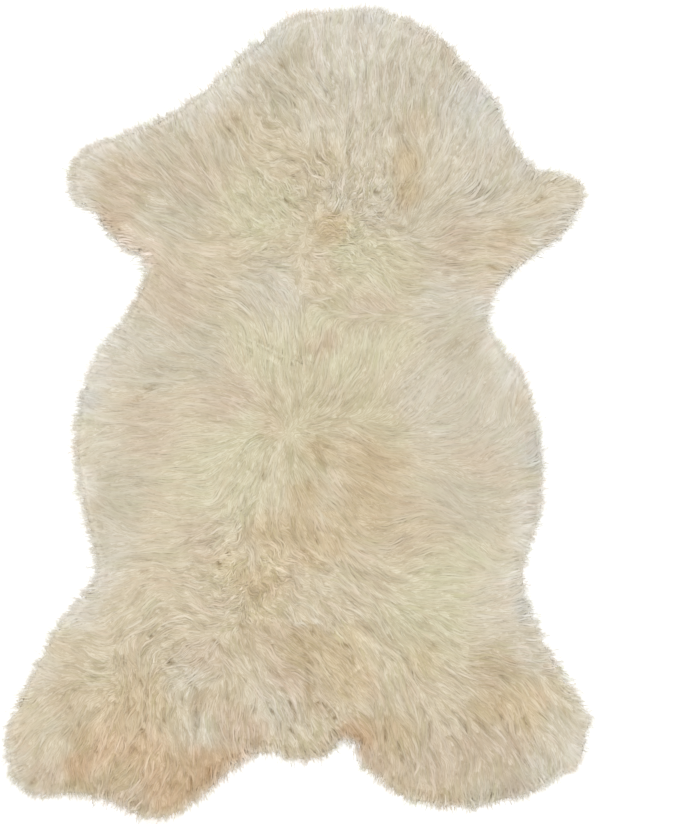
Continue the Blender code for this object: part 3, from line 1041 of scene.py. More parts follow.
class Locks:
    """The locks of the fleece: where each is rooted, its middle line and its character."""

    POINTS = 13

    def __init__(self, pelt, roots, length, tousle, overhang, rng, splay=0.0):
        self.pelt, self.splay = pelt, splay
        self.count = len(roots)
        self.everyone = np.arange(self.count)
        self.curl, coat_tousle, gather, self.depth = pelt.read(pelt.coat, roots).T
        draw = lambda low, high: rng.uniform(low, high, self.count)
        share, by_depth, by_curl = LOCK_SHRINK
        length = length * draw(*LOCK_LENGTHS)
        length *= share - by_depth * self.depth - by_curl * self.curl
        turn = LOCK_TURN[0] + LOCK_TURN[1] * np.maximum(tousle, coat_tousle)
        turn = rng.normal(0, 1, self.count) * turn
        self.gather = np.clip(gather + draw(*LOCK_GATHER), 0.05, 0.95)
        self.level = draw(*LOCK_LEVEL)
        self.tint = draw(0, 1)
        # A lock that would reach too far past the wool's edge grows from further in.
        self.follow(roots, length, turn)
        beyond = 1 - self.crossing(self.everyone, np.full(self.count, overhang))
        back = combed_line(pelt, roots, -length * beyond, turn, self.POINTS, splay)[:, -1]
        self.follow(back, length, turn)

    def follow(self, roots, length, turn):
        """Lays the middle lines, with the way they run and how far inside the edge they are."""
        self.line = combed_line(self.pelt, roots, length, turn, self.POINTS, self.splay)
        self.way = unit(np.gradient(self.line, axis=1))
        self.inside = self.pelt.read(self.pelt.inside, self.line)

    def crossing(self, lock, overhang):
        """The share of each lock's length at which it is so far past the wool's edge, or 1."""
        room = self.inside[lock] + overhang[:, None]
        rows = np.arange(len(lock))
        beyond = np.clip((room < 0).argmax(1), 1, self.POINTS - 1)
        before, after = room[rows, beyond - 1], room[rows, beyond]
        part = np.clip(before / np.maximum(before - after, 1e-6), 0, 1)
        return np.where((room < 0).any(1), (beyond - 1 + part) / (self.POINTS - 1), 1.0)

    def along(self, values, lock, share):
        """The lock lines' values at shares of their length, (wisps, points)."""
        at = np.clip(share, 0, 0.9999) * (self.POINTS - 1)
        i = at.astype(int)
        part = (at - i)[..., None]
        rows = lock[:, None]
        return values[rows, i] * (1 - part) + values[rows, i + 1] * part


def arch(share, dip):
    """How a wisp comes up out of the underwool, lies over it and dips back into it."""
    return np.sin(math.pi * share ** 0.8) ** 0.6 * (1 + dip) - dip - (1 - share) ** 6


class Wisps:
    """Wisps of wool that grow in the chosen locks. kind holds their sizes."""

    def __init__(self, locks, chosen, kind, rng):
        pelt = locks.pelt
        self.kind = kind
        lock = np.resize(rng.permutation(chosen), int(len(chosen) * kind["per_lock"]))
        self.count = len(lock)
        draw = lambda low, high: rng.uniform(low, high, self.count)
        share = np.linspace(0, 1, kind["points"])[None, :]
        across = draw(-1, 1)
        reach = np.minimum(draw(*kind["reach"]), locks.crossing(lock, draw(*kind["overhang"])))
        start = np.minimum(draw(*kind["start"]), LATEST_START * reach)
        self.depth = start[:, None] + (reach - start)[:, None] * share
        middle = locks.along(locks.line, lock, self.depth)
        way = unit(locks.along(locks.way, lock, self.depth))
        aside = np.stack([-way[..., 1], way[..., 0]], -1)
        gathered = locks.gather[lock][:, None] * smooth(self.depth * GATHERED)
        beat = 2 * math.pi * draw(*BEATS)[:, None] * share + draw(0, 2 * math.pi)[:, None]
        away = across[:, None] * kind["spread"] * (1 - gathered)
        away += kind["wave"] * (0.5 + locks.curl[lock])[:, None] * np.sin(beat) * share ** 0.5
        away += rng.normal(0, kind["stray"], self.count)[:, None] * share ** 1.5
        flat = middle + aside * away[..., None]
        flat = flat + pelt.read(pelt.parting, flat)
        rank = draw(0, 1) * (1 - ROUNDNESS * across ** 2)
        low, high = kind["level"]
        level = locks.level[lock] * (low + (high - low) * rank)
        rise = pelt.read(pelt.relief, flat) * arch(share, kind["dip"]) * level[:, None]
        z = np.maximum(pelt.read(pelt.under, flat) + rise, FLOOR_GAP + kind["width"][1] / 8)
        self.line = np.concatenate([flat, z[..., None]], -1)
        self.width = draw(*kind["width"])
        self.roots = flat[:, 0]
        self.contrast = locks.depth[lock]
        low, high = kind["tone"]
        # Lower wisps get lower tints, so more painted shade; the rest of the tint is random.
        tint = RANK_TINT * rank + (1 - RANK_TINT) * draw(0, 1)
        self.tint = self.stretched(low + (high - low) * tint)
        self.lock_tint = self.stretched(locks.tint[lock])
        self.hollow = pelt.read(pelt.hollow, flat)
        self.tone = pelt.read(pelt.tone, flat)

    def stretched(self, tint):
        """A tint's difference from the middle, as strong as the coat is deep there."""
        return MIDDLE_TINT + (tint - MIDDLE_TINT) * self.contrast


# Ranges are (least, most), and profile is a wisp's width at each point but its tip.
# A kind's tone range sets its wisps' tints, and so their painted shade and tip highlight.
BROAD_WISP = {
    "per_lock": 0.5, "points": 6, "width": (0.0034, 0.0056), "flatness": 0.25,
    "profile": (0.40, 0.90, 1.0, 0.95, 0.60), "spread": 0.0055, "reach": (0.75, 1.0),
    "start": (0.0, 0.20), "overhang": (-0.012, -0.003), "level": (0.15, 0.6),
    "tone": (0.0, 0.5), "dip": 0.25, "wave": 0.0004, "stray": 0.0006,
}
MAIN_WISP = {
    "per_lock": 3.2, "points": 6, "width": (0.0016, 0.0032), "flatness": 0.30,
    "profile": (0.45, 0.95, 1.0, 0.90, 0.60), "spread": 0.0062, "reach": (0.70, 1.0),
    "start": (0.0, 0.25), "overhang": (-0.009, 0.002), "level": (0.35, 1.0),
    "tone": (0.2, 0.9), "dip": 0.25, "wave": 0.0006, "stray": 0.0008,
}
CURLY_WISP = dict(
    MAIN_WISP, points=8, profile=(0.45, 0.90, 1.0, 1.0, 0.90, 0.75, 0.50), wave=0.0008
)
TUFT_WISP = dict(MAIN_WISP, per_lock=3)
FINE_WISP = {
    "per_lock": 1.85, "points": 5, "width": (0.0006, 0.0012), "flatness": 0.40,
    "profile": (0.60, 1.0, 0.90, 0.65), "spread": 0.0078, "reach": (0.70, 1.0),
    "start": (0.05, 0.40), "overhang": (-0.007, 0.006), "level": (0.8, 1.1),
    "tone": (0.4, 1.0), "dip": 0.1, "wave": 0.0008, "stray": 0.0012,
}
SKIRT_WISP = {
    "per_lock": 1, "points": 4, "width": (0.0010, 0.0020), "flatness": 0.35,
    "profile": (0.90, 1.0, 0.65), "spread": 0.0040, "reach": (0.85, 1.0),
    "start": (0.0, 0.20), "overhang": (-0.006, 0.005), "level": (0.1, 0.9),
    "tone": (0.6, 1.0), "dip": 0.1, "wave": 0.0008, "stray": 0.0015,
}
FRINGE_WISP = {
    "per_lock": 1, "points": 3, "width": (0.0003, 0.0006), "flatness": 0.50,
    "profile": (0.90, 1.0), "spread": 0.0030, "reach": (0.60, 1.0),
    "start": (0.0, 0.30), "overhang": (-0.004, 0.017), "level": (0.2, 1.1),
    "tone": (0.7, 1.0), "dip": 0.0, "wave": 0.0012, "stray": 0.0030,
}


def strand_faces(rings):
    """One strand's faces, as corners counted from its first vertex: its sides, tip and root."""
    pairs = [(s, (s + 1) % SIDES) for s in range(SIDES)]
    quads = [
        (SIDES * r + b, SIDES * r + a, SIDES * (r + 1) + a, SIDES * (r + 1) + b)
        for r in range(rings - 1) for a, b in pairs
    ]
    last = SIDES * (rings - 1)
    tips = [(last + b, last + a, last + SIDES) for a, b in pairs]
    return quads + tips + [tuple(range(SIDES))]


def strand_map(rings):
    """Where each of those corners lies in the strand's cell of the map."""
    levels = [r / rings for r in range(rings)]
    spots = []
    for low, high in zip(levels, levels[1:]):
        spots += [(0, low), (1, low), (1, high), (0, high)] * SIDES
    spots += [(0, levels[-1]), (1, levels[-1]), (0.5, 1)] * SIDES
    return np.array(spots + [(0.5, 0), (1, 0), (0, 0)])


def ringed(values):
    """Values along lines, repeated for each vertex of the strands round them."""
    return np.concatenate([np.repeat(values[:, :-1], SIDES, 1), values[:, -1:]], 1)


def joined(*values):
    """Three values at each vertex, as one vector each. A value may be the same along a strand."""
    return np.stack(np.broadcast_arrays(*values), -1).reshape(-1, 3)


def mark(mesh, name, values):
    """Gives each vertex a number or a vector of its own, for the material to read."""
    kind, key = ("FLOAT", "value") if values.ndim == 1 else ("FLOAT_VECTOR", "vector")
    layer = mesh.attributes.new(name, kind, "POINT")
    layer.data.foreach_set(key, values.astype(np.float32).ravel())


def link(name, mesh, material):
    """Puts a mesh into the scene as a piece."""
    mesh.materials.append(material)
    piece = bpy.data.objects.new(name, mesh)
    bpy.context.scene.collection.objects.link(piece)
    return piece


class Strands:
    """Joins wisps into closed tapered strands and lays out their maps."""

    def __init__(self, pelt):
        self.pelt = pelt
        self.places, self.corners, self.sizes, self.normals, self.maps = [], [], [], [], []
        self.marks = {}
        self.vertices = self.cells = 0

    def add(self, wisps, chosen):
        line = wisps.line[chosen]
        count, points = line.shape[:2]
        if not count:
            return
        rings = points - 1
        per = rings * SIDES + 1
        way = unit(np.gradient(line, axis=1))
        aside = unit(np.cross(way, (0.0, 0.0, 1.0)))
        over = np.cross(aside, way)
        turn = math.pi / 2 + 2 * math.pi / SIDES * np.arange(SIDES)
        half = 0.5 * wisps.width[chosen][:, None] * np.array(wisps.kind["profile"])
        over_part = (np.sin(turn) - SINK)[:, None] * over[:, :rings, None]
        aside_part = np.cos(turn)[:, None] * aside[:, :rings, None]
        section = aside_part + over_part * wisps.kind["flatness"]
        ring = line[:, :rings, None] + section * half[..., None, None]
        ring[..., 2] = np.maximum(ring[..., 2], LEAST_HEIGHT)
        body = ring.reshape(count, per - 1, 3)
        self.places.append(np.concatenate([body, line[:, -1:]], 1).reshape(-1, 3))
        faces = strand_faces(rings)
        sizes = [len(face) for face in faces]
        one = np.array([corner for face in faces for corner in face])
        first = self.vertices + per * np.arange(count)[:, None]
        self.vertices += per * count
        self.corners.append((first + one).ravel())
        self.sizes.append(np.tile(sizes, count))
        # The wool scatters light as a mass: a wisp's upper sides take on the normals of the
        # pile round it, and only the side below and the root have their own.
        contrast = wisps.contrast[chosen]
        skin = unit(self.pelt.read(self.pelt.skin, line[..., :2]))
        tilt = WISP_TILT * contrast[:, None, None, None]
        soft = unit(skin[:, :rings, None] + tilt * aside_part).reshape(count, per - 1, 3)
        soft = np.concatenate([soft, skin[:, -1:]], 1)[:, one]
        lower = np.repeat([k % SIDES == 1 for k in range(len(faces) - 1)] + [False], sizes)
        normal = np.where(lower[:, None], -ringed(over)[:, one], soft)
        normal[:, -SIDES:] = -way[:, :1]
        self.normals.append(normal.reshape(-1, 3))
        self.maps.append((self.cells, count, strand_map(rings)))
        self.cells += count
        along = ringed(wisps.depth[chosen])
        across = (np.cos(turn) * half[..., None]).reshape(count, -1)
        across = np.concatenate([across, np.zeros((count, 1))], 1)
        tint, lock_tint = wisps.tint[chosen][:, None], wisps.lock_tint[chosen][:, None]
        # 1 at the lower corners of each ring, where painted shade darkens a wisp's edges.
        flank = ([0.0] + [1.0] * (SIDES - 1)) * rings + [TIP_FLANK]
        roots = np.repeat(wisps.roots[chosen], per, 0)
        marks = {
            "along": along.ravel(),
            "flank": np.outer(contrast, flank).ravel(),
            "depth": np.repeat(contrast, per),
            "rooted": np.concatenate([roots, np.zeros((len(roots), 1))], 1),
            "shade": joined(ringed(wisps.hollow[chosen]), tint, lock_tint),
            "fibre": joined(across, along * FIBRE_LENGTH, tint),
            "tone": ringed(wisps.tone[chosen]).reshape(-1, 3),
        }
        for name, values in marks.items():
            self.marks.setdefault(name, []).append(values)

    def piece(self, name, material):
        """All that was added, as one object in the scene."""
        mesh = bpy.data.meshes.new(name)
        places, corners = np.concatenate(self.places), np.concatenate(self.corners)
        sizes = np.concatenate(self.sizes)
        starts = np.concatenate([[0], np.cumsum(sizes)[:-1]])
        mesh.vertices.add(len(places))
        mesh.vertices.foreach_set("co", places.astype(np.float32).ravel())
        mesh.loops.add(len(corners))
        mesh.loops.foreach_set("vertex_index", corners.astype(np.int32))
        mesh.polygons.add(len(sizes))
        mesh.polygons.foreach_set("loop_start", starts.astype(np.int32))
        mesh.polygons.foreach_set("loop_total", sizes.astype(np.int32))
        mesh.update(calc_edges=True)
        layer = mesh.uv_layers.new(name="OFBake")
        layer.uv.foreach_set("vector", self.laid_out().astype(np.float32).ravel())
        for label, parts in self.marks.items():
            mark(mesh, label, np.concatenate(parts))
        mesh.shade_smooth()
        mesh.normals_split_custom_set(np.concatenate(self.normals))
        return link(name, mesh, material)

    def laid_out(self):
        """Every strand in its own upright cell of the map."""
        columns = math.ceil(math.sqrt(3.0 * self.cells))
        rows = math.ceil(self.cells / columns)
        result = []
        for start, count, one in self.maps:
            cell = start + np.arange(count)
            corner = np.stack([cell % columns, cell // columns], 1)[:, None]
            inner = MAP_INSET + (1 - 2 * MAP_INSET) * one
            result.append(((corner + inner) / (columns, rows)).reshape(-1, 2))
        return np.concatenate(result)


# ---------------------------------------------------------------- materials


class Term:
    """A number or colour in a material. Python's operators on it add Math nodes."""

    def __init__(self, finish, socket):
        self.finish, self.socket = finish, socket

    def math(self, operation, first, second):
        inputs = {"Value": first, "Value_001": second}
        return self.finish.node("ShaderNodeMath", {"operation": operation}, inputs)

    def __add__(self, other):
        return self.math("ADD", self, other)

    def __sub__(self, other):
        return self.math("SUBTRACT", self, other)

    def __rsub__(self, other):
        return self.math("SUBTRACT", other, self)

    def __mul__(self, other):
        return self.math("MULTIPLY", self, other)

    __radd__, __rmul__ = __add__, __mul__

    def rise(self, low, high):
        """0 up to low, 1 from high on, and a smooth rise between them."""
        inputs = {"Value": self, "From Min": low, "From Max": high}
        return self.finish.node(
            "ShaderNodeMapRange", {"interpolation_type": "SMOOTHSTEP"}, inputs
        )


class Finish:
    """A material with a Principled shader, and the one way to add nodes to it."""

    def __init__(self, name, **sockets):
        self.material = bpy.data.materials.new(name)
        self.material.use_nodes = True
        self.tree = self.material.node_tree
        self.shader = self.tree.nodes["Principled BSDF"]
        self.wear(**sockets)

    def node(self, kind, settings=None, inputs=None, output=None):
        """Adds a node: its settings first, then its sockets' values or links.

        Sockets go by their identifiers, and the first output is used where none is named.
        """
        made = self.tree.nodes.new(kind)
        for key, value in (settings or {}).items():
            setattr(made, key, value)
        sockets = {s.identifier: s for s in made.inputs}
        for key, value in (inputs or {}).items():
            self.feed(sockets[key], value)
        outputs = {s.identifier: s for s in made.outputs}
        return Term(self, outputs[output] if output else made.outputs[0])

    def feed(self, socket, value):
        """Gives a socket a link, a colour or a number."""
        if isinstance(value, Term):
            self.tree.links.new(value.socket, socket)
        elif socket.type == "RGBA" and len(value) == 3:
            socket.default_value = (*value, 1.0)
        else:
            socket.default_value = value

    def wear(self, **sockets):
        """Feeds the shader's sockets and gives the material."""
        for key, value in sockets.items():
            self.feed(self.shader.inputs[key.replace("_", " ")], value)
        return self.material

    def mixed(self, first, second, share, blend="MIX"):
        """Two colours mixed by a share of the second."""
        settings = {"data_type": "RGBA", "blend_type": blend}
        inputs = {"A_Color": first, "B_Color": second, "Factor_Float": share}
        return self.node("ShaderNodeMix", settings, inputs, "Result_Color")

    def filtered(self, colour, filter_colour, share):
        """A colour seen through a share of a filter, which darkens and tints it."""
        return self.mixed(colour, filter_colour, share, "MULTIPLY")

    def attribute(self, name, output="Fac"):
        return self.node("ShaderNodeAttribute", {"attribute_name": name}, output=output)

    def place(self):
        """Where a point of the piece lies, in metres."""
        return self.node("ShaderNodeTexCoord", output="Object")

    def noise(self, vector, scale, detail=2.0, roughness=0.5):
        inputs = {"Vector": vector, "Scale": scale, "Detail": detail, "Roughness": roughness}
        return self.node("ShaderNodeTexNoise", {}, inputs)

    def bump(self, height, distance):
        inputs = {"Strength": 0.5, "Distance": distance, "Height": height}
        return self.node("ShaderNodeBump", {}, inputs)

    def parts(self, vector):
        """A vector's three numbers."""
        made = self.node("ShaderNodeSeparateXYZ", {}, {"Vector": vector})
        return [Term(self, s) for s in made.socket.node.outputs]

    def vector(self, x, y, z):
        return self.node("ShaderNodeCombineXYZ", {}, {"X": x, "Y": y, "Z": z})

    def vector_math(self, operation, first, second):
        inputs = {"Vector": first, "Vector_001": second}
        return self.node("ShaderNodeVectorMath", {"operation": operation}, inputs)


def fleece_finish(colours):
    """Wool with its own colour at each wisp and painted shade and highlight, matt with a soft
    sheen.
    """
    finish = Finish(
        "fleece", Roughness=0.62, Sheen_Weight=0.25, Sheen_Roughness=0.45, Specular_IOR_Level=0.35
    )
    along, depth = finish.attribute("along"), finish.attribute("depth")
    hollow, tint, lock_tint = finish.parts(finish.attribute("shade", "Vector"))
    across, down, turn = finish.parts(finish.attribute("fibre", "Vector"))
    spot = finish.vector(across * 380.0 + turn * 170.0, down * 28.0, turn * 31.0)
    fibre = finish.noise(spot, 1.0, 4.0, 0.7)
    blotch = finish.noise(finish.attribute("rooted", "Vector"), 32.0, 3.0, 0.6)
    blotch = blotch + (lock_tint - 0.5) * 0.15
    blotches_and_painted_shade = (
        # filter, share
        (colours.blush, blotch.rise(0.48, 0.72)),
        (colours.moss, 1.0 - blotch.rise(0.28, 0.52)),
        # Painted shade on the wisps that lie lowest, with a random tone for each wisp and each
        # lock.
        (colours.root, (1.0 - tint) * 0.76 + (1.0 - lock_tint) * 0.90),     # deep wisps and locks
        # Painted shade along the wisps' edges and at their tips.
        (colours.root, finish.attribute("flank") * 0.46),                   # the wisps' edges
        # Painted shade on the wisps' lower parts, where they rise out of the underwool.
        (colours.root, (1.0 - along.rise(-0.05, 0.45)) * 0.60),             # their lower parts
        # Painted shade in the streaks between the fibres, as strong as the coat's furrows are
        # deep.
        (colours.root, (1.0 - fibre.rise(0.30, 0.55)) * depth * 0.34),      # between their fibres
        # Painted shade in the folds, gaps and creases.
        (colours.deep, hollow.rise(0.05, 1.2) * 0.60),
    )
    lit_up = (
        # colour, share
        # Painted highlight on the wisps' tips, strongest on the highest wisps.
        (colours.tip, along.rise(0.5, 1.0) * tint * 0.35),
        # Painted highlight on the crests.
        (colours.tip, (hollow * -1.0).rise(0.10, 1.0) * 0.50),
    )
    colour = finish.attribute("tone", "Vector")
    for filter_colour, share in blotches_and_painted_shade:
        colour = finish.filtered(colour, filter_colour, share)
    for light, share in lit_up:
        colour = finish.mixed(colour, light, share)
    return finish.wear(Base_Color=colour, Normal=finish.bump(fibre, 0.0006))


def underwool_finish(colours):
    """Dense short wool between the locks, with painted shade all over and in streaks between its
    fibres that run the way it is combed.
    """
    finish = Finish("underwool", Roughness=0.8)
    place = finish.place()
    inputs = {"Vector": place, "Scale": 45.0}
    cell = finish.node("ShaderNodeTexVoronoi", {}, inputs, "Position")
    x, y, _ = finish.parts(finish.vector_math("SUBTRACT", place, cell))
    way_x, way_y, hollow = finish.parts(finish.attribute("combed", "Vector"))
    across, along = y * way_x - x * way_y, x * way_x + y * way_y
    spot = finish.vector(across * 900.0, along * 90.0, 0.0)
    fibre = finish.noise(finish.vector_math("ADD", spot, cell), 1.0, 2.0, 0.6)
    colour = finish.attribute("tone", "Vector")
    # Painted shade, as the underwool lies under the fleece, deepest between its fibres.
    colour = finish.filtered(colour, colours.root, 1.0 - fibre.rise(0.30, 0.65) * 0.6)
    colour = finish.filtered(colour, colours.root, 0.6 - fibre.rise(0.40, 0.70) * 0.6)
    # Painted shade in the folds, gaps and creases.
    colour = finish.filtered(colour, colours.deep, hollow.rise(0.10, 1.2))
    return finish.wear(Base_Color=colour, Normal=finish.bump(fibre, 0.0006))


def hide_finish(colours):
    """Tanned hide: cream suede with a fine nap and faint blotches."""
    finish = Finish("hide", Roughness=0.85)
    place = finish.place()
    blotch = finish.noise(place, 9.0, 4.0).rise(0.35, 0.7)
    nap = finish.noise(place, 900.0, 3.0, 0.7)
    colour = finish.mixed(colours.hide, colours.hide_blotch, blotch * 0.6 + nap * 0.2)
    return finish.wear(Base_Color=colour, Normal=finish.bump(nap, 0.0004))


def floor_finish():
    """A pale, evenly lit floor with faint specks."""
    finish = Finish("floor", Roughness=0.9, Emission_Color=WHITE, Emission_Strength=0.4)
    return finish.wear(Base_Color=finish.mixed(*FLOOR_TONES, finish.noise(finish.place(), 3.0)))


# ---------------------------------------------------------------- settings


def number_setting(name, description, default, **kind):
    return bpy.props.FloatProperty(name=name, description=description, default=default, **kind)


def length_setting(name, description, default):
    return number_setting(name, description, default, subtype="DISTANCE", unit="LENGTH")


def colour_setting(name, description, default):
    return bpy.props.FloatVectorProperty(
        name=name, description=description, default=linear(*default),
        subtype="COLOR", size=3, min=0.0, max=1.0,
    )


class FleeceSettings(bpy.types.PropertyGroup):
    """Sizes of the hide, the underwool and the fleece."""

    hide_thickness: length_setting("Hide thickness", "Thickness of the tanned hide", 0.002)
    hide_inset: length_setting(
        "Hide inset", "How far the hide's edge lies inside the wool's outline", 0.034
    )
    underwool_inset: length_setting(
        "Underwool inset", "How far the underwool's edge lies inside the outline", 0.004
    )
    underwool_share: number_setting(
        "Underwool share", "Height of the dense underwool as a share of the pile", 0.950
    )
    lock_spacing: length_setting(
        "Lock spacing", "Distance between the roots of neighbouring locks", 0.0110
    )
    lock_length: length_setting("Lock length", "How far a lock reaches over the floor", 0.056)
    tuft_length: length_setting(
        "Tuft length", "How far a short tuft reaches over the floor", 0.024
    )
    overhang: length_setting(
        "Overhang", "How far past the wool's edge the outermost locks reach", 0.010
    )
    fringe_spacing: length_setting(
        "Fringe spacing", "Distance between neighbouring hairs at the edge", 0.0022
    )
    fringe_length: length_setting(
        "Fringe length", "Length of the single hairs at the edge", 0.028
    )


class WoolColours(bpy.types.PropertyGroup):
    """Tones of the wool, the filters that shade it, and the hide's colours."""

    cream: colour_setting("Cream", "The fleece's main tone", (214, 202, 176))
    pale: colour_setting("Pale", "Pale wool with little yellow in it", (216, 208, 188))
    lilac: colour_setting("Lilac", "The coolest, whitest wool", (218, 213, 200))
    grey: colour_setting("Grey", "Cool wool of the neck and the sides", (210, 203, 185))
    ash: colour_setting("Ash", "Shaded, greyish wool", (202, 194, 172))
    green: colour_setting("Green", "Pale wool with a greenish cast", (213, 207, 178))
    pink: colour_setting("Pink", "Wool with a faint pink cast", (209, 194, 171))
    rose: colour_setting("Rose", "Warm, peachy wool", (209, 190, 165))
    tan: colour_setting("Tan", "Tan wool", (206, 190, 162))
    gold: colour_setting("Gold", "Golden wool along the back", (203, 185, 151))
    brown: colour_setting("Brown", "The brownest wool of the rump", (197, 178, 143))
    orange: colour_setting("Orange", "Orange-tan wool of the left foot", (215, 190, 157))
    olive: colour_setting("Olive", "Golden green wool round the whorl", (204, 195, 165))
    straw: colour_setting("Straw", "Light golden wool of the left haunch", (214, 196, 163))
    shade: colour_setting("Shade", "Shaded wool at the feet's edges", (194, 181, 161))
    honey: colour_setting("Honey", "Bright golden wool among the curls", (224, 210, 178))
    petal: colour_setting("Petal", "Bright wool with a pink cast at the edge", (230, 218, 201))
    frost: colour_setting("Frost", "The brightest, coolest wool at the edge", (228, 223, 209))
    silver: colour_setting("Silver", "Neutral wool at the neck's edge", (210, 209, 201))
    rust: colour_setting("Rust", "The darkest, reddest wool of the feet", (206, 179, 145))
    edge: colour_setting("Edge", "Thin wool near the edge", (222, 218, 206))
    fringe: colour_setting("Fringe", "Single hairs past the edge", (240, 240, 236))
    haze: colour_setting("Haze", "Single hairs far past the edge", (196, 194, 186))
    # Tip: the colour of the painted highlight on the tips and the crests.
    tip: colour_setting("Tip", "Colour of the palest tips", (236, 230, 214))
    # Root filter: painted shade deep in the wool, on low wisps, their edges and lower parts,
    # between fibres and on the underwool.
    root: colour_setting("Root filter", "What the wool is seen through deep down", (228, 222, 209))
    # Deep filter: painted shade in the folds, gaps and creases.
    deep: colour_setting("Deep filter", "What the folds are seen through", (221, 206, 178))
    blush: colour_setting("Blush filter", "Faint pink blotches", (255, 249, 247))
    moss: colour_setting("Moss filter", "Faint green blotches", (251, 255, 248))
    hide: colour_setting("Hide", "The tanned hide", (232, 220, 198))
    hide_blotch: colour_setting("Hide blotch", "Blotches in the tanned hide", (214, 196, 166))


class StageSettings(bpy.types.PropertyGroup):
    """The floor, the light and the camera."""

    floor_size: length_setting("Floor size", "Width of the floor", 12.0)
    camera_height: length_setting("Camera height", "Height of the camera above the floor", 3.0)
    view_height: length_setting(
        "View height", "Length of floor that the view takes in", 1.0123
    )
    view_x: length_setting("View x", "Where the camera looks down, across the rug", 0.0498)
    view_y: length_setting("View y", "Where the camera looks down, along the rug", 0.0018)
    sky: number_setting("Sky", "Strength of the soft light from all around", 0.955)
    key: number_setting("Key", "Power of the large light overhead", 15.0, unit="POWER")


GROUPS = {
    "sheepskin_fleece": FleeceSettings,
    "sheepskin_colours": WoolColours,
    "sheepskin_stage": StageSettings,
}
shared = {}             # what is worked out once for all the steps


def settings():
    return [getattr(bpy.context.scene, name) for name in GROUPS]


def pelt():
    """The pelt's maps, worked out when they are first asked for."""
    if "maps" not in shared:
        fleece, colours, _ = settings()
        shared["maps"] = Pelt(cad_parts[PELT], fleece.underwool_share, colours)
    return shared["maps"]


# ---------------------------------------------------------------- operators


def form(name, bm, material):
    """Puts a bmesh into the scene as a smooth piece."""
    mesh = bpy.data.meshes.new(name)
    bm.to_mesh(mesh)
    bm.free()
    mesh.shade_smooth()
    return link(name, mesh, material)


class SHEEPSKIN_OT_underwool(bpy.types.Operator):
    """Models the dense underwool as one closed, lumpy form under the fleece"""

    bl_idname = "sheepskin.underwool"
    bl_label = "Underwool"

    def execute(self, context):
        fleece, colours, _ = settings()
        maps = pelt()
        bm = bmesh.new()
        bm.from_mesh(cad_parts[PELT].data)
        bmesh.ops.remove_doubles(bm, verts=bm.verts, dist=WELD)
        upper = [e for e in bm.edges if any(v.co.z > ABOVE_FLOOR for v in e.verts)]
        bmesh.ops.subdivide_edges(bm, edges=upper, cuts=UNDERWOOL_CUTS, use_grid_fill=True)
        places = np.array([v.co for v in bm.verts])
        flat, height = places[:, :2], places[:, 2]
        draw_in = 1 - smooth(maps.read(maps.inside, flat) / UNDERWOOL_BAND)
        draw_in = fleece.underwool_inset * draw_in - EDGE_FOLLOW * maps.read(maps.further, flat)
        moved = flat - maps.read(maps.outward, flat) * draw_in[:, None]
        under = maps.read(maps.under, moved)
        lifted = np.where(height > ABOVE_FLOOR, under, fleece.hide_thickness)
        for v, place, z in zip(bm.verts, moved, lifted):
            v.co = (*place, max(z, fleece.hide_thickness))
        bmesh.ops.recalc_face_normals(bm, faces=bm.faces)
        piece = form("underwool", bm, underwool_finish(colours))
        hollow = maps.read(maps.hollow, moved)[:, None]
        combed = np.concatenate([maps.read(maps.heading, moved), hollow], 1)
        mark(piece.data, "combed", combed)
        mark(piece.data, "tone", maps.read(maps.tone, moved))
        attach(piece, "root")
        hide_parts(PELT)
        return {"FINISHED"}


class SHEEPSKIN_OT_fleece(bpy.types.Operator):
    """Models the fleece as locks of combed wisps, in a few pieces from neck to tail"""

    bl_idname = "sheepskin.fleece"
    bl_label = "Fleece"

    def execute(self, context):
        fleece, colours, _ = settings()
        maps = pelt()
        groups = self.wisps(maps, fleece)
        finish = fleece_finish(colours)
        names = ("haunches", "loin", "ribs", "shoulders", "neck")
        for name, chosen in zip(names, self.shared_out(groups, len(names))):
            strands = Strands(maps)
            for group, part in zip(groups, chosen):
                strands.add(group, part)
            piece = strands.piece(f"fleece_of_the_{name}", finish)
            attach(piece, "root")
        return {"FINISHED"}

    def wisps(self, maps, fleece):
        """All the wisps: those of the combed locks, of the tufts, of the skirt and the fringe."""
        rng = np.random.default_rng(SEED)
        over = fleece.overhang
        roots = scattered(maps, fleece.lock_spacing, rng)
        locks = Locks(maps, roots, fleece.lock_length, 0.0, over, rng)
        roots = tuft_places(maps, fleece.lock_spacing, rng)
        tufts = Locks(maps, roots, fleece.tuft_length, TUFT_TOUSLE, over, rng)
        roots = scattered(maps, fleece.fringe_spacing * SKIRT_SPACING, rng, most=SKIRT_DEPTH)
        skirt = Locks(maps, roots, fleece.fringe_length, SKIRT_TOUSLE, over, rng)
        roots = scattered(maps, fleece.fringe_spacing, rng, most=FRINGE_DEPTH)
        over += FRINGE_FURTHER
        fringe = Locks(maps, roots, fleece.fringe_length, FRINGE_TOUSLE, over, rng, FRINGE_SPLAY)
        curly = locks.curl > CURLY_FROM
        grown = (
            (locks, locks.everyone, BROAD_WISP),
            (locks, locks.everyone[~curly], MAIN_WISP),
            (locks, locks.everyone[curly], CURLY_WISP),
            (locks, locks.everyone, FINE_WISP),
            (tufts, tufts.everyone, TUFT_WISP),
            (skirt, skirt.everyone, SKIRT_WISP),
            (fringe, fringe.everyone, FRINGE_WISP),
        )
        return [Wisps(group, chosen, kind, rng) for group, chosen, kind in grown]

    def shared_out(self, groups, pieces):
        """For each piece, which wisps of each group it holds.

        The pieces are bands across the rug with like numbers of faces.
        """
        place = np.concatenate([group.roots[:, 1] for group in groups])
        weight = np.concatenate([np.full(group.count, group.line.shape[1]) for group in groups])
        order = np.argsort(place)
        share = np.cumsum(weight[order]) / weight.sum()
        ends = np.searchsorted(share, [i / pieces for i in range(1, pieces)])
        band = [np.digitize(group.roots[:, 1], place[order][ends]) for group in groups]
        return [[each == i for each in band] for i in range(pieces)]


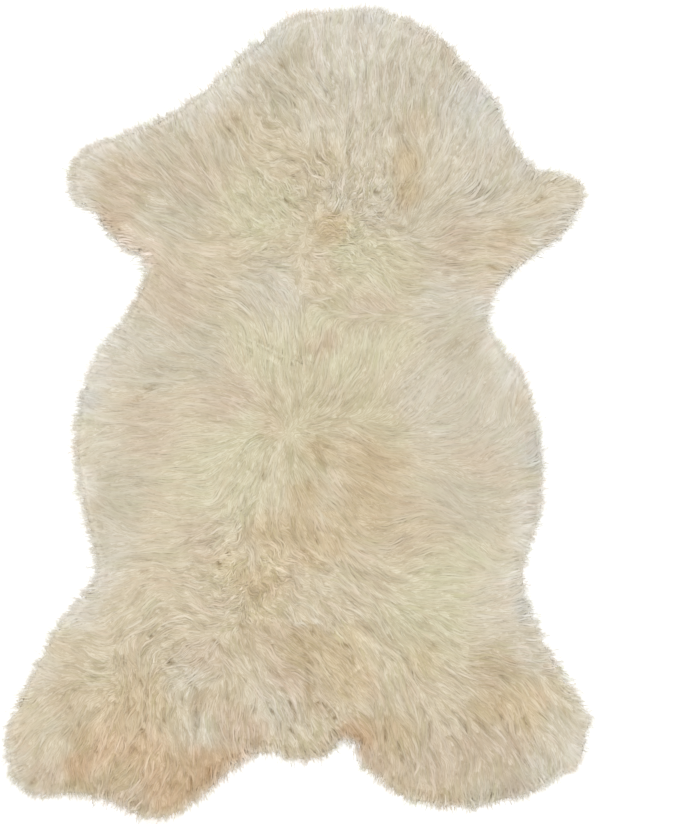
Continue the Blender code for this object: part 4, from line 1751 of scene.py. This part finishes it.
class SHEEPSKIN_OT_hide(bpy.types.Operator):
    """Models the tanned hide that lies on the floor under the wool"""

    bl_idname = "sheepskin.hide"
    bl_label = "Hide"

    def execute(self, context):
        fleece, colours, _ = settings()
        bm = bmesh.new()
        face = bm.faces.new([bm.verts.new((x, y, 0.0)) for x, y in pelt().outline])
        face.normal_update()
        if face.normal.z < 0:
            face.normal_flip()
        bmesh.ops.inset_region(
            bm, faces=[face], thickness=fleece.hide_inset, use_boundary=True, use_even_offset=True
        )
        rim = [f for f in bm.faces if f is not face]
        bmesh.ops.delete(bm, geom=rim, context="FACES")
        bmesh.ops.dissolve_degenerate(bm, dist=HIDE_WELD, edges=bm.edges)
        bmesh.ops.triangulate(bm, faces=bm.faces)
        area = sum(f.calc_area() for f in bm.faces)
        raised = bmesh.ops.extrude_face_region(bm, geom=bm.faces[:])["geom"]
        upper = [v for v in raised if isinstance(v, bmesh.types.BMVert)]
        bmesh.ops.translate(bm, verts=upper, vec=(0, 0, fleece.hide_thickness))
        bmesh.ops.recalc_face_normals(bm, faces=bm.faces)
        piece = form("hide", bm, hide_finish(colours))
        piece.data.shade_flat()
        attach(piece, "root")
        return {"FINISHED"}


class SHEEPSKIN_OT_stage(bpy.types.Operator):
    """Sets the pale floor, the soft light and the camera straight above the rug"""

    bl_idname = "sheepskin.stage"
    bl_label = "Stage"

    def execute(self, context):
        scene, stage = context.scene, settings()[2]
        bm = bmesh.new()
        bmesh.ops.create_grid(bm, x_segments=1, y_segments=1, size=stage.floor_size / 2)
        bmesh.ops.translate(bm, verts=bm.verts, vec=(0, 0, -FLOOR_DROP))
        form("floor", bm, floor_finish())
        world = bpy.data.worlds.new("sky")
        world.use_nodes = True
        background = world.node_tree.nodes["Background"]
        background.inputs["Color"].default_value = WHITE
        background.inputs["Strength"].default_value = stage.sky
        scene.world = world
        lamp = bpy.data.lights.new("key", "AREA")
        lamp.shape, lamp.size, lamp.energy = "DISK", KEY_SIZE, stage.key
        key = bpy.data.objects.new("key", lamp)
        key.location = KEY_PLACE
        key.rotation_euler = (-key.location).to_track_quat("-Z", "Y").to_euler()
        scene.collection.objects.link(key)
        camera = bpy.data.objects.new("camera", bpy.data.cameras.new("camera"))
        camera.data.sensor_width = SENSOR
        camera.data.lens = SENSOR * (stage.camera_height - VIEW_LEVEL) / stage.view_height
        camera.location = (stage.view_x, stage.view_y, stage.camera_height)
        scene.collection.objects.link(camera)
        scene.camera = camera
        scene.view_settings.view_transform = "Standard"
        return {"FINISHED"}


class SHEEPSKIN_PT_panel(bpy.types.Panel):
    """Lists the steps that make the rug, with their settings"""

    bl_label = "Sheepskin"
    bl_space_type = "VIEW_3D"
    bl_region_type = "UI"
    bl_category = "Sheepskin"

    def draw(self, context):
        for group in settings():
            for name in group.bl_rna.properties.keys():
                if name not in ("rna_type", "name"):
                    self.layout.prop(group, name)
        for step in STEPS:
            self.layout.operator(step.bl_idname)


STEPS = (SHEEPSKIN_OT_stage, SHEEPSKIN_OT_underwool, SHEEPSKIN_OT_fleece, SHEEPSKIN_OT_hide)


def register():
    for kind in (*GROUPS.values(), *STEPS, SHEEPSKIN_PT_panel):
        bpy.utils.register_class(kind)
    for name, group in GROUPS.items():
        setattr(bpy.types.Scene, name, bpy.props.PointerProperty(type=group))


def unregister():
    for name in GROUPS:
        delattr(bpy.types.Scene, name)
    for kind in (SHEEPSKIN_PT_panel, *STEPS, *GROUPS.values()):
        bpy.utils.unregister_class(kind)


def main():
    register()
    for step in STEPS:
        category, name = step.bl_idname.split(".")
        getattr(getattr(bpy.ops, category), name)()


if __name__ == "__main__":
    main()
